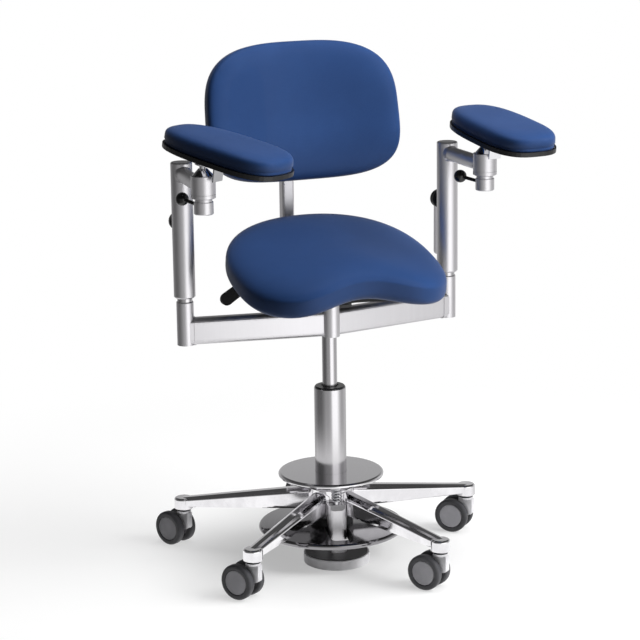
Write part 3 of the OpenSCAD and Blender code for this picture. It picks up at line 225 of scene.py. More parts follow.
def stretch(tree, vector, scale):
    """Scales a pattern's coordinate, so that its noise draws out into lines."""
    node = add(tree, "ShaderNodeMapping", {"vector_type": "POINT"}, Vector=vector, Scale=scale)
    return node.outputs["Vector"]


def between(tree, fac, low, high):
    """A value that goes from low to high as the mask goes from 0 to 1."""
    return add(tree, "ShaderNodeMapRange", i0=fac, i3=low, i4=high).outputs["Result"]


def blend_colours(tree, fac, dark, light):
    """Goes from one colour to the other as the mask goes from 0 to 1. A colour may be a socket."""
    ends = [colour if isinstance(colour, bpy.types.NodeSocket) else (*colour, 1) for colour in (dark, light)]
    return add(tree, "ShaderNodeMix", {"data_type": "RGBA"}, Factor=fac, i6=ends[0], i7=ends[1]).outputs[2]


def bump(tree, shader, height, strength, depth):
    """Raises the surface by a height pattern, depth metres high at most."""
    node = add(tree, "ShaderNodeBump", Height=height, Strength=strength, Distance=depth)
    tree.links.new(node.outputs["Normal"], shader.inputs["Normal"])


# Leatherette: pebbles in a metre, how much wear patches lighten it, how much painted shade darkens the
# creases against the pebble tops, and roughness of creases and tops
COVER_PEBBLES = 950.0
PATCH_SHARE = 0.35
CREASE_SHADE_SHARE = 0.55
COVER_ROUGH = (0.52, 0.4)


def leatherette(name, dark, light):
    """Smooth blue leatherette: fine pebbles, creases a little duller than their tops and darker with painted
    shade.
    """
    material, tree, shader, place = new_material(
        name, Roughness=0.42, Specular_IOR_Level=0.24, Sheen_Weight=0.09, Sheen_Roughness=0.4)
    grain = use_group(tree, LEATHER_GRAIN, Vector=place, Pebbles=COVER_PEBBLES, Softness=0.3)
    use = use_group(tree, HANDLING, Vector=place, Patches=7.0)
    tone = add(tree, "ShaderNodeMath", {"operation": "MULTIPLY_ADD", "use_clamp": True},
               i0=use.outputs["Patches"], i1=PATCH_SHARE, i2=0.0)
    # Painted shade: the pebble tops come out lighter and the creases between them darker, added to the wear
    # patches.
    wear_and_crease_shade = add(tree, "ShaderNodeMath", {"operation": "MULTIPLY_ADD", "use_clamp": True},
               i0=grain.outputs["Crease"], i1=CREASE_SHADE_SHARE, i2=tone.outputs[0])
    tree.links.new(blend_colours(tree, wear_and_crease_shade.outputs[0], dark, light), shader.inputs["Base Color"])
    tree.links.new(between(tree, grain.outputs["Crease"], *COVER_ROUGH), shader.inputs["Roughness"])
    bump(tree, shader, grain.outputs["Height"], strength=0.12, depth=0.0003)
    return material


# Colour of painted shade on a disc's underside: near black
UNDERSIDE_SHADE = (0.02, 0.02, 0.021)
# Roughness where a mask is 0 and where it is 1, as shares of the roughness that a finish is given
BRUSHED_ROUGH = (0.75, 1.2)
POLISHED_ROUGH = (1.3, 0.8)
MOULDED_ROUGH = (0.85, 1.15)


def brushed(name, dark, light, rough, drawn, turned=False, relief=0.08, shade_below=None):
    """Ground metal: fine lines along a tube, or rings round a turned disc, with faint handling marks.

    The lines come from noise that is drawn out by a scale on each axis. A disc may have painted shade
    on its underside: all that lies below a height in metres is black."""
    material, tree, shader, place = new_material(name, Metallic=1.0, Roughness=rough)
    along = use_group(tree, TURNED, Vector=place).outputs["Vector"] if turned else place
    marks = use_group(tree, FINE_LINES, Vector=stretch(tree, along, drawn), Lines=1.0)
    use = use_group(tree, HANDLING, Vector=place, Patches=6.0)
    colour = blend_colours(tree, marks.outputs["Tone"], dark, light)
    # Painted shade: black on a disc's underside, below the given height.
    if shade_below is not None:
        height = add(tree, "ShaderNodeSeparateXYZ", Vector=place).outputs["Z"]
        above = add(tree, "ShaderNodeMath", {"operation": "GREATER_THAN"}, i0=height, i1=shade_below)
        colour = blend_colours(tree, above.outputs[0], UNDERSIDE_SHADE, colour)
    tree.links.new(colour, shader.inputs["Base Color"])
    dull = add(tree, "ShaderNodeMath", {"operation": "MULTIPLY_ADD"},
               i0=use.outputs["Patches"], i1=PATCH_SHARE, i2=marks.outputs["Tone"])
    ends = [rough * share for share in BRUSHED_ROUGH]
    tree.links.new(between(tree, dull.outputs[0], *ends), shader.inputs["Roughness"])
    bump(tree, shader, marks.outputs["Height"], relief, depth=0.0001)
    return material


def polished(name, dark, light, rough, ripple):
    """Polished metal: a slow ripple left by the wheel, and soft patches that are a little less bright."""
    material, tree, shader, place = new_material(name, Metallic=1.0, Roughness=rough)
    use = use_group(tree, HANDLING, Vector=place, Patches=14.0)
    tree.links.new(blend_colours(tree, use.outputs["Patches"], dark, light), shader.inputs["Base Color"])
    ends = [rough * share for share in POLISHED_ROUGH]
    tree.links.new(between(tree, use.outputs["Patches"], *ends), shader.inputs["Roughness"])
    wave = add(tree, "ShaderNodeTexNoise", Vector=place, Scale=38.0, Detail=1.5)
    bump(tree, shader, wave.outputs["Fac"], ripple, depth=0.001)
    return material


def moulded(name, dark, light, rough, pebble, shine=0.5, depth=0.00015, metal=0.0):
    """Moulded plastic, rubber or paint: fine even texture, slightly cloudy colour."""
    material, tree, shader, place = new_material(
        name, Roughness=rough, Specular_IOR_Level=shine, Metallic=metal)
    use = use_group(tree, HANDLING, Vector=place, Patches=20.0)
    skin = add(tree, "ShaderNodeTexNoise", Vector=place, Scale=pebble, Detail=3.0, Roughness=0.65)
    tree.links.new(blend_colours(tree, use.outputs["Patches"], dark, light), shader.inputs["Base Color"])
    ends = [rough * share for share in MOULDED_ROUGH]
    tree.links.new(between(tree, skin.outputs["Fac"], *ends), shader.inputs["Roughness"])
    bump(tree, shader, skin.outputs["Fac"], strength=0.25, depth=depth)
    return material


# Height in metres up to which the upper disc is painted black as shade: just over its lower face
SHADE_UP_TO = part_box("height_disc")[0].z + 0.0006

# Each finish: name, darker and lighter colour, roughness, then what its function says
BLUE_COVER = leatherette("blue_leatherette", (0.0135, 0.040, 0.128), (0.0195, 0.056, 0.174))
POLISHED_STAR = polished("polished_aluminium", (0.72, 0.71, 0.73), (0.86, 0.85, 0.87), 0.09, ripple=0.05)
CHROME = polished("chrome_plate", (0.62, 0.62, 0.64), (0.72, 0.72, 0.74), 0.06, ripple=0.02)
SATIN_TUBE = brushed("satin_aluminium", (0.62, 0.61, 0.63), (0.74, 0.73, 0.75), 0.37, drawn=(700, 700, 30),
                     relief=0.04)
COLUMN_STEEL = brushed("ground_column_steel", (0.5, 0.49, 0.505), (0.64, 0.63, 0.645), 0.16,
                       drawn=(900, 900, 8))
DISC_STEEL = brushed("turned_disc_steel", (0.64, 0.63, 0.65), (0.78, 0.77, 0.79), 0.14, drawn=(1400, 1, 400),
                     turned=True, relief=0.04, shade_below=SHADE_UP_TO)
# Painted shade: the lower disc's turned steel is a much darker copy of the upper disc's.
SHADED_DISC_STEEL = brushed("shaded_disc_steel", (0.22, 0.215, 0.225), (0.3, 0.295, 0.305), 0.11,
                       drawn=(1100, 1, 300), turned=True, relief=0.04)
DARK_METAL = moulded("black_enamel", (0.007, 0.007, 0.008), (0.012, 0.012, 0.013), 0.32, pebble=1400.0,
                     shine=0.4)
BLACK_PLASTIC = moulded("black_plastic", (0.005, 0.005, 0.006), (0.009, 0.009, 0.010), 0.42, pebble=1800.0,
                        shine=0.22)
GLOSS_BLACK = moulded("gloss_black_plastic", (0.005, 0.005, 0.006), (0.009, 0.009, 0.010), 0.2, pebble=900.0,
                      depth=0.00005)
FORK_GREY = moulded("silver_lacquer", (0.66, 0.655, 0.675), (0.76, 0.755, 0.775), 0.36, pebble=1200.0,
                    shine=0.5, depth=0.00006, metal=0.3)
HUB_GREY = moulded("grey_hub_plastic", (0.36, 0.355, 0.38), (0.43, 0.425, 0.45), 0.45, pebble=1500.0,
                   shine=0.3)
TYRE_GREY = moulded("tyre_rubber", (0.04, 0.04, 0.044), (0.066, 0.066, 0.072), 0.5, pebble=1100.0,
                    shine=0.35)
GRIP_BLACK = moulded("pebbled_grip", (0.0018, 0.0018, 0.002), (0.004, 0.004, 0.0045), 0.5, pebble=230.0,
                     shine=0.12, depth=0.0022)
SEAL_BLACK = moulded("seal_rubber", (0.004, 0.004, 0.0045), (0.008, 0.008, 0.009), 0.55, pebble=1500.0,
                     shine=0.12)
PAD_RUBBER = moulded("pad_rubber", (0.62, 0.615, 0.63), (0.72, 0.715, 0.73), 0.5, pebble=900.0)

# Mesh building


def build_piece(name, points, faces, material, body, slot, replaced=()):
    """Makes a smooth mesh from points in millimetres and lists of faces, and lets it ride on its body."""
    mesh = bpy.data.meshes.new(name)
    mesh.from_pydata((np.asarray(points) * MM).tolist(), [], [list(face) for face in faces])
    mesh.polygons.foreach_set("use_smooth", np.ones(len(mesh.polygons), bool))
    mesh.materials.append(material)
    mesh.update()
    piece = bpy.data.objects.new(name, mesh)
    bpy.context.scene.collection.objects.link(piece)
    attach(piece, body)
    if replaced:
        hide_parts(*replaced)
    return piece


def quads_between(rows, around, closed=False):
    """Quads between rings of points; a closed row of rings has quads from its last ring to its first too."""
    step = np.arange(around)
    ahead = (step + 1) % around
    row = np.arange(rows if closed else rows - 1)[:, None] * around
    above = (row + around) % (rows * around)
    return np.stack([row + step, row + ahead, above + ahead, above + step], -1).reshape(-1, 4).tolist()


def skin_rings(rings, first, last):
    """Points and faces of a closed skin: quads between rings, and a fan to a pole point at each end."""
    rows, around = rings.shape[:2]
    step = np.arange(around)
    ahead = (step + 1) % around
    points = np.vstack([rings.reshape(-1, 3), first, last])
    poles = rows * around + np.array([[0], [1]]) + 0 * step
    top = (rows - 1) * around
    fans = [np.stack([ahead, step, poles[0]], -1), np.stack([top + step, top + ahead, poles[1]], -1)]
    return points, quads_between(rows, around) + np.vstack(fans).tolist()


# An axis with a z over this counts as upright
MOSTLY_UPRIGHT = 0.9


def revolve(profile, centre, axis, around=64):
    """Turns a profile of (radius, height) pairs about an axis through centre. Its ends lie on the axis."""
    axis = np.asarray(axis, float) / np.linalg.norm(axis)
    side = np.cross(axis, (0, 0, 1) if abs(axis[2]) < MOSTLY_UPRIGHT else (1, 0, 0))
    side /= np.linalg.norm(side)
    ahead = np.cross(axis, side)
    profile, centre = np.asarray(profile, float), np.asarray(centre, float)
    turn = np.linspace(0, TAU, around, endpoint=False)
    spoke = np.cos(turn)[:, None] * side + np.sin(turn)[:, None] * ahead
    inner = profile[1:-1]
    rings = centre + inner[:, 0, None, None] * spoke + inner[:, 1, None, None] * axis
    return skin_rings(rings, centre + profile[0, 1] * axis, centre + profile[-1, 1] * axis)


def arc(centre, radius, start, stop, steps):
    """Points of a circular arc, from one angle in degrees to another."""
    angle = np.radians(np.linspace(start, stop, steps))
    return np.stack([centre[0] + radius * np.cos(angle), centre[1] + radius * np.sin(angle)], -1)


def turn_about_z(points, degrees):
    """Turns points about the z axis."""
    turn = radians(degrees)
    x, y, z = np.moveaxis(points, -1, 0)
    return np.stack([np.cos(turn) * x - np.sin(turn) * y, np.sin(turn) * x + np.cos(turn) * y, z], -1)


def signed_power(value, power):
    """Raises a number's size to a power, and keeps its sign."""
    return np.sign(value) * np.abs(value) ** power


def soft_step(value, start, stop):
    """Rises smoothly from 0 to 1 as the value goes from start to stop."""
    share = np.clip((value - start) / (stop - start), 0, 1)
    return share * share * (3 - 2 * share)


def join_shells(*shells):
    """Puts closed shells, each its points and faces, into one mesh."""
    points, faces = [], []
    for shell_points, shell_faces in shells:
        start = sum(map(len, points))
        points.append(shell_points)
        faces += [[corner + start for corner in face] for face in shell_faces]
    return np.vstack(points), faces


# Cushions

# Lengths in millimetres, slopes and levels in degrees, shares and powers as plain numbers
LEVEL_POWER = 0.8
TILT_Z = 507.5
SEAT = dict(width=401.5, front=177, rear=192, centre=-26.8, stand=43.5, thick=70.4, droop=43.5,
            rear_droop=5.5, rise=6.2, curl=4.3, notch=38.4, notch_w=96.3, notch_power=2.25, slope=9.9,
            front_share=0.775, rear_share=0.85, round_share=0.556, saddle=0.26,
            welt=1.3, welt_level=12, welt_w=4.5, welt_from=0.35)
BACK = dict(width=387, height=263.5, thick=57.5, wrap=25, wrap_share=0.3, y=133.6, z=839.5, lean=9.9,
            top_share=0.669, low_share=0.524, round_share=0.513, taper=0.05)


def cushion_grid(around, levels):
    """Two parameters of a cushion: direction round its edge, and level from its underside to its crown."""
    direction = np.linspace(0, TAU, around, endpoint=False)[None, :]
    share = (np.arange(levels) + 0.5) / levels
    level = np.radians(90 * signed_power(2 * share - 1, LEVEL_POWER))[:, None]
    return direction, level


def seat_surface(direction, level, s=SEAT):
    """Saddle seat: a squared ellipse with a notched front, bulged between two faces, drooping to its sides.

    The edge's x and y are powers of cosine and sine, and the front's y gets a bell in x for the notch. The
    rear rises and the front curls down with the square of the distance. The sides fall along a hyperbola
    in x. A low welt, a bell in level, runs along the front face."""
    power = np.where(np.sin(direction) < 0, s["front_share"], s["rear_share"])
    edge_x = s["width"] / 2 * signed_power(np.cos(direction), power)
    reach = signed_power(np.sin(direction), power)
    notch = s["notch"] * np.exp(-(np.abs(edge_x) / s["notch_w"]) ** s["notch_power"])
    edge_y = np.where(np.sin(direction) < 0, s["front"] * reach + notch, s["rear"] * reach)
    welt = np.exp(-((np.degrees(level) - s["welt_level"]) / s["welt_w"]) ** 2)
    welt = s["welt"] / s["front"] * welt * soft_step(-np.sin(direction), s["welt_from"], 1)
    share = np.cos(level) ** s["round_share"] + welt
    x, y = share * edge_x, share * edge_y
    along = y / np.where(y < 0, s["front"], s["rear"])
    saddle = s["saddle"]
    fall = (np.hypot(2 * x / s["width"], saddle) - saddle) / (np.hypot(1, saddle) - saddle)
    droop = s["rear_droop"] + (s["droop"] - s["rear_droop"]) * (1 - along) / 2
    middle = s["rise"] * np.maximum(along, 0) ** 2 - s["curl"] * np.maximum(-along, 0) ** 2 - droop * fall
    z = s["stand"] + middle + s["thick"] / 2 * (1 + signed_power(np.sin(level), s["round_share"]))
    y = y + s["centre"]
    tilt = radians(s["slope"])
    back, up = np.cos(tilt) * y - np.sin(tilt) * z, np.sin(tilt) * y + np.cos(tilt) * z
    return np.stack([x + 0 * z, back, TILT_Z + up], -1)


def back_surface(direction, level, s=BACK):
    """Backrest: a squared ellipse, rounder above and narrower there, wrapped forward with the square of x.

    It then leans back about its own middle."""
    power = np.where(np.sin(direction) > 0, s["top_share"], s["low_share"])
    share = np.cos(level) ** s["round_share"]
    z = share * s["height"] / 2 * signed_power(np.sin(direction), power)
    x = share * s["width"] / 2 * signed_power(np.cos(direction), power) * (1 - s["taper"] * z / s["height"])
    y = -s["wrap"] * ((2 * x / s["width"]) ** 2 - s["wrap_share"]) \
        - s["thick"] / 2 * signed_power(np.sin(level), s["round_share"])
    lean = radians(s["lean"])
    back, up = np.cos(lean) * y + np.sin(lean) * z, np.cos(lean) * z - np.sin(lean) * y
    return np.stack([x, s["y"] + back, s["z"] + up], -1)


def cover_cushion(name, surface, around, levels, body, node):
    """Lays the leatherette over a cushion's surface, closed at its two poles."""
    rings = surface(*cushion_grid(around, levels))
    pole = np.zeros((1, 1))
    ends = [surface(pole, pole + sign * TAU / 4)[0] for sign in (-1, 1)]
    piece = build_piece(name, *skin_rings(rings, *ends), BLUE_COVER, body, "blue_cover", (node,))


cover_cushion("seat_cover", seat_surface, around=224, levels=110, body="seat", node="seat_cushion")
cover_cushion("back_cover", back_surface, around=192, levels=60, body="back", node="back_cushion")

PAD = dict(length=256, width=125, thick=31, base=8, forward=52, rear_share=0.62, rear_round=0.714,
           front_round=0.69, round_share=0.4, draw=1.5, up=25.3)
BARRELS = {"right": dict(place=(-282.9, -112.0, 796.7), turn=-61.0, slope=9.5),
           "left": dict(place=(269.5, -112.6, 796.7), turn=-85.4, slope=7.0)}


def rest_surface(direction, height, side, s=PAD):
    """Arm rest: a long rounded rear and a squarer front, with upright sides that roll over to a crown."""
    power = np.where(np.cos(direction) > 0, s["front_round"], s["rear_round"])
    half = s["length"] * np.where(np.cos(direction) > 0, 1 - s["rear_share"], s["rear_share"])
    rise = TAU / 4 * np.maximum(height, 0)
    drawn = np.where(height < 0, -s["draw"], -s["draw"] * np.sin(2 * rise))
    edge_x = s["length"] * (s["rear_share"] - 0.5) + (half + drawn) * signed_power(np.cos(direction), power)
    edge_y = (s["width"] / 2 + drawn) * signed_power(np.sin(direction), power)
    share = np.cos(rise) ** s["round_share"]
    top = s["base"] + (s["thick"] - s["base"]) * np.sin(rise) ** s["round_share"]
    z = s["up"] + np.where(height < 0, s["base"] * (1 + height), top)
    x = s["forward"] + share * edge_x
    return stand_on_barrel(np.stack([x + 0 * z, share * edge_y + 0 * z, z + 0 * x], -1), side)


def stand_on_barrel(points, side):
    """Slopes points about the ball's cross axis, turns them to the arm rest's direction and moves them."""
    b = BARRELS[side]
    slope = radians(b["slope"])
    x, y, z = np.moveaxis(points, -1, 0)
    x, z = np.cos(slope) * x + np.sin(slope) * z, -np.sin(slope) * x + np.cos(slope) * z
    return turn_about_z(np.stack([x, y, z], -1), b["turn"]) + np.array(b["place"])


def cover_rest(side, around=160, foot_levels=4, levels=40):
    """Lays the leatherette over one arm rest, flat below and crowned on top.

    Its height goes from -1 to 0 up the foot, then to 1 over the crown."""
    direction = np.linspace(0, TAU, around, endpoint=False)[None, :]
    foot = np.linspace(-1, -0.2, foot_levels)
    height = np.concatenate([foot, (np.arange(levels) / levels) ** LEVEL_POWER])[:, None]
    rings = rest_surface(direction, height, side)
    low = stand_on_barrel(np.array([[PAD["forward"], 0, PAD["up"]]]), side)
    high = stand_on_barrel(np.array([[PAD["forward"], 0, PAD["up"] + PAD["thick"]]]), side)
    piece = build_piece(f"{side}_rest_cover", *skin_rings(rings, low, high), BLUE_COVER, f"{side}_rest",
                        "blue_cover", (f"{side}_arm_pad",))


for side in BARRELS:
    cover_rest(side)

# Castor wheels and forks, in millimetres

CASTORS = range(1, 6)
SIDES = ("left", "right")
WHEEL = dict(radius=33.2, width=16.2, gap=15.4, cap=46, tread=4.6, inner=20, recess=3, bore=8.2, seat=4,
             room=0.1)
# Points of the sections: how far out from an edge, then how far up from a face
TYRE_ROOT = ((-0.6, 3), (-0.2, 0.4), (0.4, 0))
TYRE_LIP = ((1.8, -0.3), (0.7, -0.6), (0.2, -1.6), (0, -4))
SHOULDER_SWEEP = (-90, 0, 84)
HUB_FOOT = (-0.2, -3.9)
HUB_ROLL = dict(out=-1.2, up=-2.0, radius=1.2, sweep=(0, 80))
HUB_RIM = (-2.2, -0.75)
# Points of the hub disc's face: share of its radius, then how far up from the wheel's face
HUB_FACE = ((0.7, -0.55), (0.3, -0.5), (0, -0.5))
INNER_RISE = 0.2
INNER_BOSS = ((-0.8, 0.2), (0, 0.8), (1, 2.5))
INNER_RING = ((-1.6, 2.5), (-0.7, 3.4))


def from_edge(points, edge, face):
    """Places a section's points by the radius of an edge and the height of a face."""
    return np.array(points, float) + (edge, face)


def tyre_profile():
    """Tyre's section: rounded shoulders, a shallow crown, and a lip that holds the hub disc."""
    w = WHEEL
    shoulder, edge = w["radius"] - w["tread"], w["cap"] / 2
    low, level, high = SHOULDER_SWEEP
    return np.vstack([
        [(0, w["recess"])], from_edge(TYRE_ROOT, edge, 0),
        arc((shoulder, w["tread"]), w["tread"], low, level, steps=9),
        arc((shoulder, w["width"] - w["tread"]), w["tread"], level, high, steps=9),
        from_edge(TYRE_LIP, edge, w["width"]), [(0, w["width"] - w["seat"])]])


def hub_profile():
    """Hub disc's section: a flat cap with a softly rolled edge that sits inside the tyre's lip."""
    width, edge, roll = WHEEL["width"], WHEEL["cap"] / 2 - WHEEL["room"], HUB_ROLL
    face = [(edge * share, width + up) for share, up in HUB_FACE]
    return np.vstack([
        [(0, width + HUB_FOOT[1])], from_edge([HUB_FOOT], edge, width),
        arc((edge + roll["out"], width + roll["up"]), roll["radius"], *roll["sweep"], steps=6),
        from_edge([HUB_RIM], edge, width), face])


def inner_hub_profile():
    """Inner hub's section: a boss round the pin and a shallow ring between it and the tyre."""
    w = WHEEL
    foot, top = w["recess"] + INNER_RISE, INNER_RING[-1][1]
    return np.vstack([
        [(0, foot), (0, foot), (w["bore"] / 2, INNER_RISE)], from_edge(INNER_BOSS, w["inner"] / 2, 0),
        from_edge(INNER_RING, w["cap"] / 2, 0), [(0, top)]])


def dress_wheel(number, side):
    """Fits one wheel with its tyre, its outer hub disc and its inner hub."""
    centre = np.array(JOINTS[f"wheel_spin_{number}_{side}"]["pos_m"]) / MM
    node = f"castor_wheel_{number}_{side}"
    low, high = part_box(node)
    outward = np.array((low + high) / 2) / MM - centre
    outward[2] = 0
    outward /= np.linalg.norm(outward)
    start = centre + outward * WHEEL["gap"] / 2
    body = f"wheel_{number}_{side}"
    build_piece(f"{body}_tyre", *revolve(tyre_profile(), start, outward, around=96), TYRE_GREY, body,
                "wheel_grey", (node,))
    for name, profile in (("hub_disc", hub_profile()), ("inner_hub", inner_hub_profile())):
        build_piece(f"{body}_{name}", *revolve(profile, start, outward), HUB_GREY, body, "wheel_grey")


for number in CASTORS:
    for side in SIDES:
        dress_wheel(number, side)

FORK = dict(front=15.5, back=13.5, top=67, shoulder=60, knee=41, knee_r=6, knee_sweep=(190, 255),
            foot_r=8.5, foot_sweep=(250, 410), trail=24.1, axle_z=33.2, half=6.7, soft=1.5, middle=54)
HEAD = dict(low=66, radius=13.5, foot_edge=0.6, top=73.3, rim_in=0.5, rim_drop=0.4, stem_r=5.4, stem_top=90)
PIN = dict(washer_r=6.9, radius=3.9, half=17, play=0.3)
SEAL = dict(radius=14.3, low=70.6, high=73.8, edge=0.6)


def fork_outline(inset):
    """Side outline of the fork's blade: upright in front, a round knee, then back to the foot at the pin."""
    f = FORK
    front = -f["front"] + inset
    return np.vstack([
        [(front, f["top"]), (front, f["knee"])],
        arc((front + f["knee_r"], f["knee"]), f["knee_r"], *f["knee_sweep"], steps=6),
        arc((f["trail"], f["axle_z"]), f["foot_r"] - inset, *f["foot_sweep"], steps=14),
        [(f["back"] - inset, f["shoulder"]), (f["back"] - inset, f["top"])]])


def fork_blade():
    """Blade between the wheels: its outline drawn across, with softened edges. Its trail is +x."""
    half, soft, middle = FORK["half"], FORK["soft"], FORK["middle"]
    across = half - np.array([0, soft / 3, soft])
    across = np.concatenate([across, -across[::-1]])
    plan = np.stack([fork_outline(inset) for inset in (soft, soft / 3, 0, 0, soft / 3, soft)])
    rings = np.stack([plan[..., 0], np.broadcast_to(across[:, None], plan.shape[:2]), plan[..., 1]], -1)
    return skin_rings(rings, (0, half, middle), (0, -half, middle))


def head_profile():
    """Section of the fork's head and of the stem that stands on it."""
    h, radius, low = HEAD, HEAD["radius"], HEAD["low"]
    return [(0, low), (radius - h["foot_edge"], low), (radius, low + h["foot_edge"]),
            (radius, h["top"] - h["rim_drop"]), (radius - h["rim_in"], h["top"]),
            (h["stem_r"], h["top"]), (h["stem_r"], h["stem_top"]), (0, h["stem_top"])]


def pin_profile():
    """Section of the pin that carries both wheels, with a wide washer between them."""
    p, reach = PIN, WHEEL["gap"] / 2 - PIN["play"]
    half = [(p["washer_r"], reach), (p["radius"], reach), (p["radius"], p["half"]), (0, p["half"])]
    return [(radius, -height) for radius, height in half[::-1]] + half


def seal_profile():
    """Section of the black ring between a leg's boss and the fork's head."""
    radius, low, high, edge = SEAL["radius"], SEAL["low"], SEAL["high"], SEAL["edge"]
    return [(0, low), (radius - edge, low), (radius, low + edge), (radius, high), (0, high)]


def fit_fork(number):
    """Gives one castor its fork, with its head and stem, the wheels' pin and a black seal under the leg."""
    up = np.array((0, 0, 1))
    place = np.array(JOINTS[f"castor_swivel_{number}"]["pos_m"]) / MM * (1, 1, 0)
    axle = np.array(JOINTS[f"wheel_spin_{number}_left"]["pos_m"]) / MM * (1, 1, 0)
    ahead = (axle - place) / np.linalg.norm(axle - place)
    side = np.cross(up, ahead)
    blade, faces = fork_blade()
    shells = join_shells((place + blade @ np.array([ahead, side, up]), faces),
                         revolve(head_profile(), place, up),
                         revolve(pin_profile(), axle + up * FORK["axle_z"], side, around=40))
    body = f"castor_{number}"
    build_piece(f"{body}_fork", *shells, FORK_GREY, body, "fork_grey", (f"castor_fork_{number}",))
    build_piece(f"{body}_seal", *revolve(seal_profile(), place, up), SEAL_BLACK, body, "fork_grey")


for number in CASTORS:
    fit_fork(number)

# Slot lining of the lower disc, black as painted shade

# The brake post stands at this angle and this distance from the column
POST_TURN = 258.2
POST_R = 56
SLOT = dict(start=46, stop=117.7, half=21.7, corner=11.7, wall=1.3, low=44, below=0.5)
DISC_SLOPE = dict(flat_r=46, flat_z=66, rim_r=134, rim_z=61.6)


def slot_loop(inset):
    """Plan of the slot: two straight sides and a round front, drawn in by inset. The column is at -x."""
    s = SLOT
    ahead, aside = s["stop"] - s["corner"], s["half"] - s["corner"]
    corner = s["corner"] - inset
    return np.vstack([
        [(s["start"] + inset, s["half"] - inset), (s["start"] + inset, -s["half"] + inset)],
        arc((ahead, -aside), corner, 270, 360, steps=8),
        arc((ahead, aside), corner, 0, 90, steps=8)])


def line_slot_with_shade():
    """Black lining on the slot's four sides, painted shade for the dark inside the slot; its top edge lies
    just under the dished face of the disc.
    """
    outer, inner = slot_loop(0), slot_loop(SLOT["wall"])
    d = DISC_SLOPE

    def top(plan):
        fall = (np.hypot(*plan.T) - d["flat_r"]) / (d["rim_r"] - d["flat_r"])
        return d["flat_z"] + (d["rim_z"] - d["flat_z"]) * np.maximum(fall, 0) - SLOT["below"]

    low = np.full(len(outer), SLOT["low"])
    loops = [(inner, low), (outer, low), (outer, top(outer)), (inner, top(inner))]
    rings = np.stack([np.column_stack([plan, z]) for plan, z in loops])
    points = turn_about_z(rings.reshape(-1, 3), POST_TURN)
    faces = quads_between(*rings.shape[:2], closed=True)
    build_piece("slot_shade_lining", points, faces, SEAL_BLACK, "brake", "black_plastic")


# Return spring

SPRING = dict(radius=9.1, wire=2.8, turns=6, end=2.8, bend=1.4, rings=28, sides=12)


def coil_spring():
    """Return spring: a wire carried along a helix, its ends turned upright against the post and the disc."""
    s = SPRING
    low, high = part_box("height_spring")
    bottom, length = low.z / MM, (high.z - low.z) / MM
    t = np.linspace(0, 1, s["turns"] * s["rings"] + 1)
    ease = s["end"] + s["bend"]
    angle = TAU * s["turns"] * t
    path = np.stack([s["radius"] * np.cos(angle), s["radius"] * np.sin(angle),
                     ease + (length - 2 * ease) * t], -1)
    foot = path[0] * (1, 1, 0)
    head = path[-1] * (1, 1, 0) + (0, 0, length)
    path = np.vstack([foot, foot + (0, 0, s["end"]), path[1:-1], head - (0, 0, s["end"]), head])
    run = np.gradient(path, axis=0)
    run[0] = run[1] = run[-1] = run[-2] = (0, 0, 1)
    run /= np.linalg.norm(run, axis=1)[:, None]
    out = path * (1, 1, 0)
    out /= np.linalg.norm(out, axis=1)[:, None]
    out -= (out * run).sum(1)[:, None] * run
    out /= np.linalg.norm(out, axis=1)[:, None]
    across = np.cross(run, out)
    turn = np.linspace(0, TAU, s["sides"], endpoint=False)
    ring = out[:, None] * np.cos(turn)[None, :, None] + across[:, None] * np.sin(turn)[None, :, None]
    points, faces = skin_rings(path[:, None] + s["wire"] / 2 * ring, path[:1], path[-1:])
    points = turn_about_z(points, 90) + (POST_R, 0, bottom)
    piece = build_piece("return_spring", turn_about_z(points, POST_TURN), faces, CHROME, "brake", "chrome",
                        ("height_spring",))
    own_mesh(piece)


line_slot_with_shade()
coil_spring()

# Finishes of the frame's parts

FINISHES = {
    "star_base": POLISHED_STAR,
    "column_tube": COLUMN_STEEL,
    "column_bush": GLOSS_BLACK,
    "piston_rod": CHROME,
    "height_disc": DISC_STEEL,
    "height_plunger": CHROME,
    "brake_disc": SHADED_DISC_STEEL,
    "brake_collar": GLOSS_BLACK,
    "brake_post": SATIN_TUBE,
    "brake_plate": DARK_METAL,
    "brake_pad": PAD_RUBBER,
    "gas_cylinder": COLUMN_STEEL,
    "arm_frame": SATIN_TUBE,
    "seat_mechanism": DARK_METAL,
    "seat_bracket": DARK_METAL,
    "seat_shell": BLACK_PLASTIC,
    "tilt_lever": GRIP_BLACK,
    "back_clamp": SATIN_TUBE,
    "back_knob": BLACK_PLASTIC,
    "back_bar": SATIN_TUBE,
    "back_bracket": DARK_METAL,
    "back_shell": BLACK_PLASTIC,
}
SIDE_FINISHES = {
    "arm_post": COLUMN_STEEL,
    "arm_sleeve": SATIN_TUBE,
    "height_knob": BLACK_PLASTIC,
    "height_handle": SATIN_TUBE,
    "clamp_nut": SATIN_TUBE,
    "clamp_lever": GLOSS_BLACK,
    "pad_spindle": CHROME,
    "pad_socket": CHROME,
    "pad_plate": DARK_METAL,
}


def finish_node(node, material):
    """Gives a CAD node its finish in every material slot that it has."""
    piece = NODES[node]
    if not piece.material_slots:
        piece.data.materials.append(material)
    for slot in piece.material_slots:
        slot.material = material


for node, material in FINISHES.items():
    finish_node(node, material)
for side in BARRELS:
    for part, material in SIDE_FINISHES.items():
        finish_node(f"{side}_{part}", material)

# Floor, background and lamps

# Metres from the stool's axis. Where it is seen, the floor is a matt grey with a glow, weaker under the
# stool as a painted shadow, that fades to white. Where it only lights, it is a sheet that darkens away from
# the stool.
FLOOR_HALF = 6.0
FLOOR_GREY = 0.4
FLOOR_GLOW = 0.64
FLOOR_FADE = (0.45, 1.35)
FLOOR_BOUNCE = (0.7, 0.15)
BOUNCE_FADE = (0.45, 0.9)
